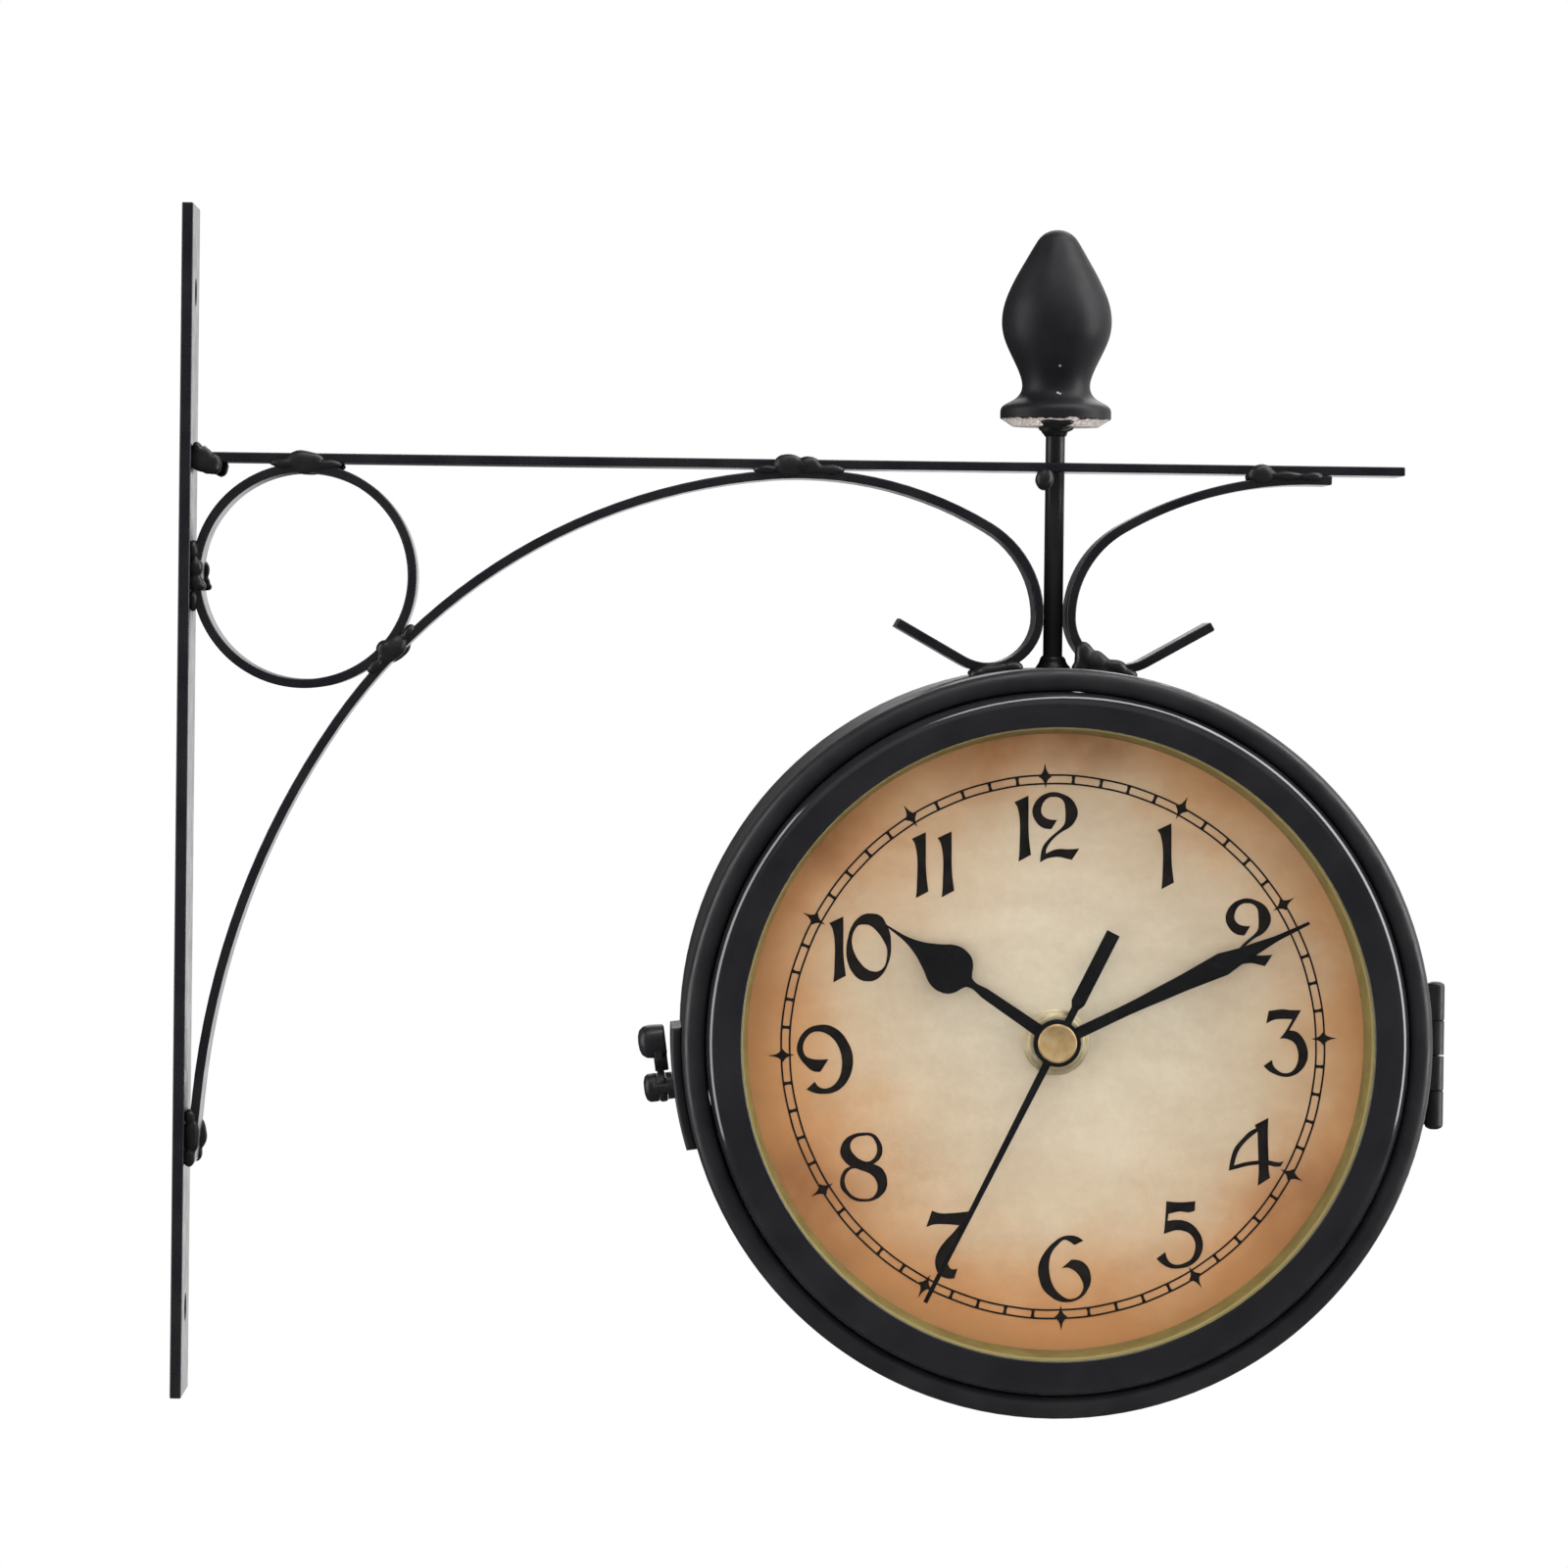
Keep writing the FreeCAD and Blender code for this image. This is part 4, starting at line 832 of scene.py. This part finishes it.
def lump(across, depth, up, half_sizes, tilt=0.0):
    """One blob of weld metal."""
    bpy.ops.mesh.primitive_ico_sphere_add(
        subdivisions=3, location=(across * MM, depth * MM, up * MM), rotation=(0, -math.radians(tilt), 0),
        scale=[s * MM for s in half_sizes])
    return bpy.context.object


def apply_modifier(piece, kind, **settings):
    """Adds a modifier with its settings and applies it."""
    only(piece)
    made = piece.modifiers.new(kind.lower(), kind)
    for name, value in settings.items():
        setattr(made, name, value)
    bpy.ops.object.modifier_apply(modifier=made.name)


skin = bpy.data.textures.new("weld_skin", "CLOUDS")
skin.noise_scale = 2.6 * MM
skin.noise_depth = 0


def melted(name, blobs, grain, relief):
    """Blobs run together into one rough skin."""
    piece = joined(*blobs)
    piece.name = name
    only(piece)
    bpy.ops.object.transform_apply(location=True, rotation=True, scale=True)
    apply_modifier(piece, "REMESH", mode="VOXEL", voxel_size=grain * MM)
    apply_modifier(
        piece, "DISPLACE", texture=skin, strength=relief * MM, mid_level=0.5, texture_coords="LOCAL")
    apply_modifier(piece, "SMOOTH", iterations=6, factor=0.5)
    bpy.ops.object.shade_smooth()
    return piece


blobs = [lump(POST_FOOT_X, 0, up, (wide, wide, 1.4)) for up, wide in POST_FOOT]
for across, up, half_long, half_high, tilt in LUMPS:
    smaller = (half_long * REAR_SHARE, REAR_DEPTH, half_high * REAR_SHARE)
    blobs.append(lump(across, -STRIP_EDGE, up, (half_long, FRONT_DEPTH, half_high), tilt))
    blobs.append(lump(across + 0.5, STRIP_EDGE, up - 0.2, smaller, tilt))
for across, up in SCROLL_FEET:
    blobs.append(lump(across, 0, up, SCROLL_FOOT_SIZES))
welds = melted("weld_lumps", blobs, grain=0.22, relief=0.5)
give(welds, "bracket", weld_metal, "weld_beads")
print("welds", len(welds.data.polygons), "faces")

# %% [markdown]
# The finial is pushed on the post and fixed with black glue, which squeezed out below it and ran to the
# front over the bare foot. It is melted from lumps as the welds are, each given from the post and the
# foot by place and half sizes.

# %% Glue under the finial
GLUE = [
    (0, 0, -0.2, (3.2, 3.1, 0.9)), (1.6, -1.3, -0.1, (1.8, 1.6, 0.8)), (-1.2, -0.9, -0.6, (1.5, 1.6, 1.1)),
    (0, 0, -1.2, (2.2, 2.2, 1.1)), (-0.3, -4.6, -0.1, (3.0, 3.2, 0.8)), (-0.7, -8.4, 0.8, (2.8, 1.3, 0.85)),
    (1.2, -8.7, 0.65, (1.7, 1.0, 0.65)), (-0.4, -7.9, 0.1, (2.5, 1.2, 0.8))]
post_low, post_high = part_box("post")
post_x = (post_low.x + post_high.x) / 2 / MM
foot_z = foot.z / MM
dabs = [lump(post_x + across, depth, foot_z + up, sizes) for across, depth, up, sizes in GLUE]
glue = melted("finial_glue", dabs, grain=0.2, relief=0.4)
give(glue, "bracket", weld_metal)
print("glue", len(glue.data.polygons), "faces")

# %% [markdown]
# The latch is worked by a rounded thumb knob on its hook, which a small rib stiffens. The hook carries a
# collar round its pivot, and the pivot ends in a smaller domed head. The hinge pin's ends are peened over
# in domes, and thin washers part its knuckles. Bevelled cylinders would do for the round pieces, but half
# a section that is spun about the axis gives the real dome in one step.

# %% Latch and hinge trim
LATCH_TILT = 8.0
THUMB = [
    (70.55, 0), (70.55, 2.5), (70.8, 2.95), (73.4, 3.12), (74.4, 2.95), (75.2, 2.3), (75.55, 1.3), (75.65, 0)]
THUMB_RISE = 8.5
HEAD = [(73.05, 0), (73.05, 2.45), (73.3, 2.68), (74.7, 2.62), (75.3, 2.2), (75.6, 1.2), (75.65, 0)]
COLLAR = [(71.45, 0), (71.45, 2.65), (71.8, 2.85), (72.6, 2.85), (72.98, 2.6), (72.98, 0)]
WASHER = [(-0.1, 0.9), (-0.1, 1.6), (0.1, 1.6), (0.1, 0.9), (-0.1, 0.9)]
PEEN = [(-0.6, 0), (-0.6, 1.5), (0.0, 1.72), (0.35, 1.45), (0.65, 0.8), (0.72, 0)]
RIB = [(-0.5, -2.4, 1), (-0.5, 2.4, 1), (0.5, 2.4, 1), (0.5, -2.4, 1)]
RIB_THICKNESS = 2.5
RIB_PLACE = Vector((-71.9, 1.9, 5.4))
RIB_UPRIGHT = Matrix(((0, 0, -1), (-1, 0, 0), (0, 1, 0))).to_4x4()


def lathe(name, section, steps=40):
    """A turned solid from (along, radius) rows, its axis along -X."""
    mesh = bpy.data.meshes.new(name)
    rows = [(-along * MM, 0, radius * MM) for along, radius in section]
    mesh.from_pydata(rows, [(i, i + 1) for i in range(len(rows) - 1)], [])
    piece = bpy.data.objects.new(name, mesh)
    scene.collection.objects.link(piece)
    only(piece)
    bpy.ops.object.mode_set(mode="EDIT")
    bpy.ops.mesh.select_all(action="SELECT")
    bpy.ops.mesh.spin(steps=steps, angle=2 * math.pi, center=(0, 0, 0), axis=(1, 0, 0))
    bpy.ops.mesh.select_all(action="SELECT")
    bpy.ops.mesh.remove_doubles(threshold=MERGE * MM)
    bpy.ops.mesh.normals_make_consistent(inside=False)
    bpy.ops.object.mode_set(mode="OBJECT")
    apply_modifier(
        piece, "BEVEL", width=0.2 * MM, segments=2, limit_method="ANGLE", angle_limit=math.radians(25))
    bpy.ops.object.shade_smooth()
    apply_modifier(piece, "WEIGHTED_NORMAL")
    return piece


def set_down(piece, matrix):
    """Puts a piece in its place and applies it."""
    only(piece)
    piece.matrix_world = matrix
    bpy.ops.object.transform_apply(location=True, rotation=True, scale=True)


low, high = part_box("latch_pivot")
at_hub = Matrix.Translation((HUB.x, (low.y + high.y) / 2, HUB.z))
on_latch = at_hub @ Matrix.Rotation(-math.radians(LATCH_TILT), 4, "Y")
thumb = lathe("latch_thumb", THUMB)
set_down(thumb, on_latch @ Matrix.Translation((0, 0, THUMB_RISE * MM)))
give(thumb, "latch", satin_black)
collar = lathe("latch_collar", COLLAR)
set_down(collar, on_latch)
give(collar, "latch", satin_black)
rib = drawn("latch_rib", [RIB], RIB_THICKNESS, round_over=0.2)
set_down(rib, on_latch @ Matrix.Translation(RIB_PLACE * MM) @ RIB_UPRIGHT)
give(rib, "latch", satin_black)
head = lathe("latch_pivot_head", HEAD)
set_down(head, on_latch)
give(head, "bracket", satin_black)
low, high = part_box("hinge_pin")
middle = (low + high) / 2
for name, end, turn in (("hinge_peen_top", high.z, 90), ("hinge_peen_low", low.z, -90)):
    peen = lathe(name, PEEN, 24)
    at = Vector((middle.x, middle.y, end))
    set_down(peen, Matrix.Translation(at) @ Matrix.Rotation(math.radians(turn), 4, "Y"))
    give(peen, "bracket", satin_black)
for number, share in enumerate((0.25, 0.75), 1):
    washer = lathe("hinge_washer_" + str(number), WASHER, 24)
    at = Vector((middle.x, middle.y, low.z + (high.z - low.z) * share))
    set_down(washer, Matrix.Translation(at) @ Matrix.Rotation(math.radians(90), 4, "Y"))
    give(washer, "bracket", satin_black)
print("latch and hinge trim made")

# %% [markdown]
# Three more pieces of each clock are turned about the drum's axis and take the place of plainer CAD
# nodes. The bezel is spun from sheet, and the outer edge of its face rolls over in a wide round, which
# carries the bright line over the top of the clock. The movement is held by a stepped ring nut of pale
# brass, and the cap on the hands is dished. Each section is worked out from its node's own box.

# %% Bezels, ring nuts and caps
def on_both_clocks(node, name, section, steps, material, body=""):
    """A turned piece in the place of a node on each clock, from its section between face and back."""
    for side, turn, carrier in (("front", 90, "front_door"), ("rear", -90, "bracket")):
        low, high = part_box(side + node)
        back, face = sorted((abs(low.y) / MM, abs(high.y) / MM))
        piece = lathe(side + name, section(face, back, (high.x - low.x) / 2 / MM), steps)
        set_down(piece, Matrix.Translation((HUB.x, 0, HUB.z)) @ Matrix.Rotation(math.radians(turn), 4, "Z"))
        give(piece, side + body if body else carrier, material, side + node)
        print(piece.name, len(piece.data.polygons), "faces")


ROLL, FACE_WIDTH, SHEET = 2.6, 6.4, 1.0
ROLL_STEPS = 12
NUT_STEP_SHARE, NUT_BORE_SHARE = 0.45, 0.6
NUT_COLLAR_SHARE, NUT_FACE_SHARE = 0.86, 0.84


def bezel_section(face, back, outer):
    """A flanged sheet ring whose face rolls over into its side."""
    turns = [math.radians(90 * step / ROLL_STEPS) for step in range(ROLL_STEPS + 1)]
    roll = [(face - ROLL * (1 - math.cos(a)), outer - ROLL * (1 - math.sin(a))) for a in turns]
    inside = [(face - SHEET, outer - SHEET), (face - SHEET, outer - FACE_WIDTH), (face, outer - FACE_WIDTH)]
    return inside + roll + [(back, outer), (back, outer - SHEET), inside[0]]


def nut_section(face, back, outer):
    """A ring nut with a step in its side."""
    step, bore = back + (face - back) * NUT_STEP_SHARE, outer * NUT_BORE_SHARE
    return [(back, bore), (back, outer), (step, outer), (step, outer * NUT_COLLAR_SHARE),
            (face, outer * NUT_FACE_SHARE), (face, bore), (back, bore)]


def cap_section(face, back, outer):
    """A button with a rounded rim and a dished face."""
    return [(back, 0), (back, outer - 0.15), (back + 0.15, outer), (face - 0.3, outer),
            (face - 0.08, outer - 0.1), (face, outer - 0.3), (face - 0.05, outer - 0.5),
            (face - 0.2, 0.3), (face - 0.2, 0)]


on_both_clocks("_bezel", "_bezel_spun", bezel_section, 160, gloss_black)
on_both_clocks("_fixing_nut", "_ring_nut", nut_section, 64, pale_brass)
on_both_clocks("_second_cap", "_dished_cap", cap_section, 64, brass, "_seconds")

# %% [markdown]
# The object was photographed on white, with tall soft boxes at both sides and a long one overhead, which
# draw the line round the bezel. A wide weak scrim hangs above the camera and one more box stands behind.
# A fill from the lower left lights the dial; gloss and glass don't show it, since it would lay a veil on
# them. The world is white to the eye and to scattered light. A mirror-like bounce sees a room that is
# white behind on the right and dark elsewhere, so the faces turned right are pale and the others black,
# and what shines under the glass sees mostly white, so that the brass stays bright. A panorama could
# light it all, but lamps can be moved one by one. Places and sizes here are in metres.

# %% Studio
world = bpy.data.worlds.new("studio")
scene.world = world
world.use_nodes = True
tree = world.node_tree
rays = put(tree, "LightPath").outputs
towards = put(tree, "SeparateXYZ", {"Vector": put(tree, "TexCoord").outputs["Generated"]}).outputs
behind = fade(tree, towards["Y"], -0.35, 0.5)
right = put(tree, "MapRange", {
    "Value": towards["X"], "From Min": -0.01, "From Max": 0.03, "To Min": 0.03, "To Max": 0.95})
room = sums(tree, "ADD", sums(tree, "MULTIPLY", behind, right.outputs["Result"]), 0.05)
reflected = sums(tree, "MINIMUM", rays["Glossy Depth"], 1.0)
scattered = sums(tree, "MINIMUM", rays["Diffuse Depth"], 1.0)
mirror = sums(tree, "MULTIPLY", reflected, sums(tree, "SUBTRACT", 1.0, scattered))
# Two passes are the glass's own reflection inside; more come from the metal under it
under_glass = sums(tree, "GREATER_THAN", rays["Transmission Depth"], 2.5)
share = sums(tree, "SUBTRACT", 1.0, sums(tree, "MULTIPLY", under_glass, 0.7))
mirror = sums(tree, "MULTIPLY", mirror, share)
level = put(tree, "Mix", {0: mirror, 2: 1.0, 3: room}, data_type="FLOAT").outputs[0]
level = put(tree, "Mix", {0: rays["Is Camera Ray"], 2: level, 3: 1.0}, data_type="FLOAT").outputs[0]
plug(tree, tree.nodes["Background"], {"Color": (1, 1, 1, 1), "Strength": level})


MIDDLE = (0.115, 0, 0)
FLOOR_DROP = 0.3


def soft_box(name, place, power, width, height):
    """A rectangular soft lamp turned to the middle of the clock."""
    light = bpy.data.lights.new(name, "AREA")
    light.shape = "RECTANGLE"
    light.size = width
    light.size_y = height
    light.energy = power
    lamp = bpy.data.objects.new(name, light)
    scene.collection.objects.link(lamp)
    lamp.location = place
    aim(lamp, MIDDLE)
    return lamp


soft_box("left_box", (-0.95, -0.18, 0.175), power=11.5, width=0.45, height=1.35)
soft_box("right_box", (1.2, -0.18, 0.475), power=25, width=0.45, height=1.95)
soft_box("top_box", (0.3, -0.2, 1.0), power=6.5, width=1.3, height=0.2)
soft_box("front_scrim", (0.1, -1.3, 1.1), power=4, width=3.0, height=1.2)
fill = soft_box("front_fill", (-0.4, -1.45, -0.4), power=11.5, width=1.6, height=1.0)
fill.visible_glossy = False
fill.visible_transmission = False
soft_box("rear_box", (0.3, 1.3, 0.9), power=8, width=1.0, height=0.8)

bpy.ops.mesh.primitive_plane_add(size=1.3, location=(MIDDLE[0], 0, -FLOOR_DROP))
floor = bpy.context.object
floor.name = "floor"
floor_white, tree, shader, place = finish("floor_white", Roughness=0.9)
pale = mix(tree, cloud(tree, place, 400, 0.0, 1.0), (0.8, 0.8, 0.8, 1), (0.84, 0.84, 0.84, 1))
rays = put(tree, "LightPath").outputs
plug(tree, shader, {"Base Color": mix(tree, rays["Is Glossy Ray"], pale, (0.02, 0.02, 0.02, 1))})
glow = put(tree, "Emission", {"Color": (1, 1, 1, 1), "Strength": 1.0})
distance = put(tree, "VectorMath", {0: place}, operation="LENGTH").outputs["Value"]
bright = put(tree, "MapRange", {
    "Value": distance, "From Min": 0.2, "From Max": 0.6, "To Min": 0.7, "To Max": 1.0})
seen = sums(tree, "MULTIPLY", rays["Is Camera Ray"], bright.outputs["Result"])
both = put(tree, "MixShader", {0: seen, 1: shader.outputs[0], 2: glow.outputs[0]})
tree.links.new(both.outputs[0], tree.nodes["Material Output"].inputs["Surface"])
dress(floor, floor_white)
print("studio ready")
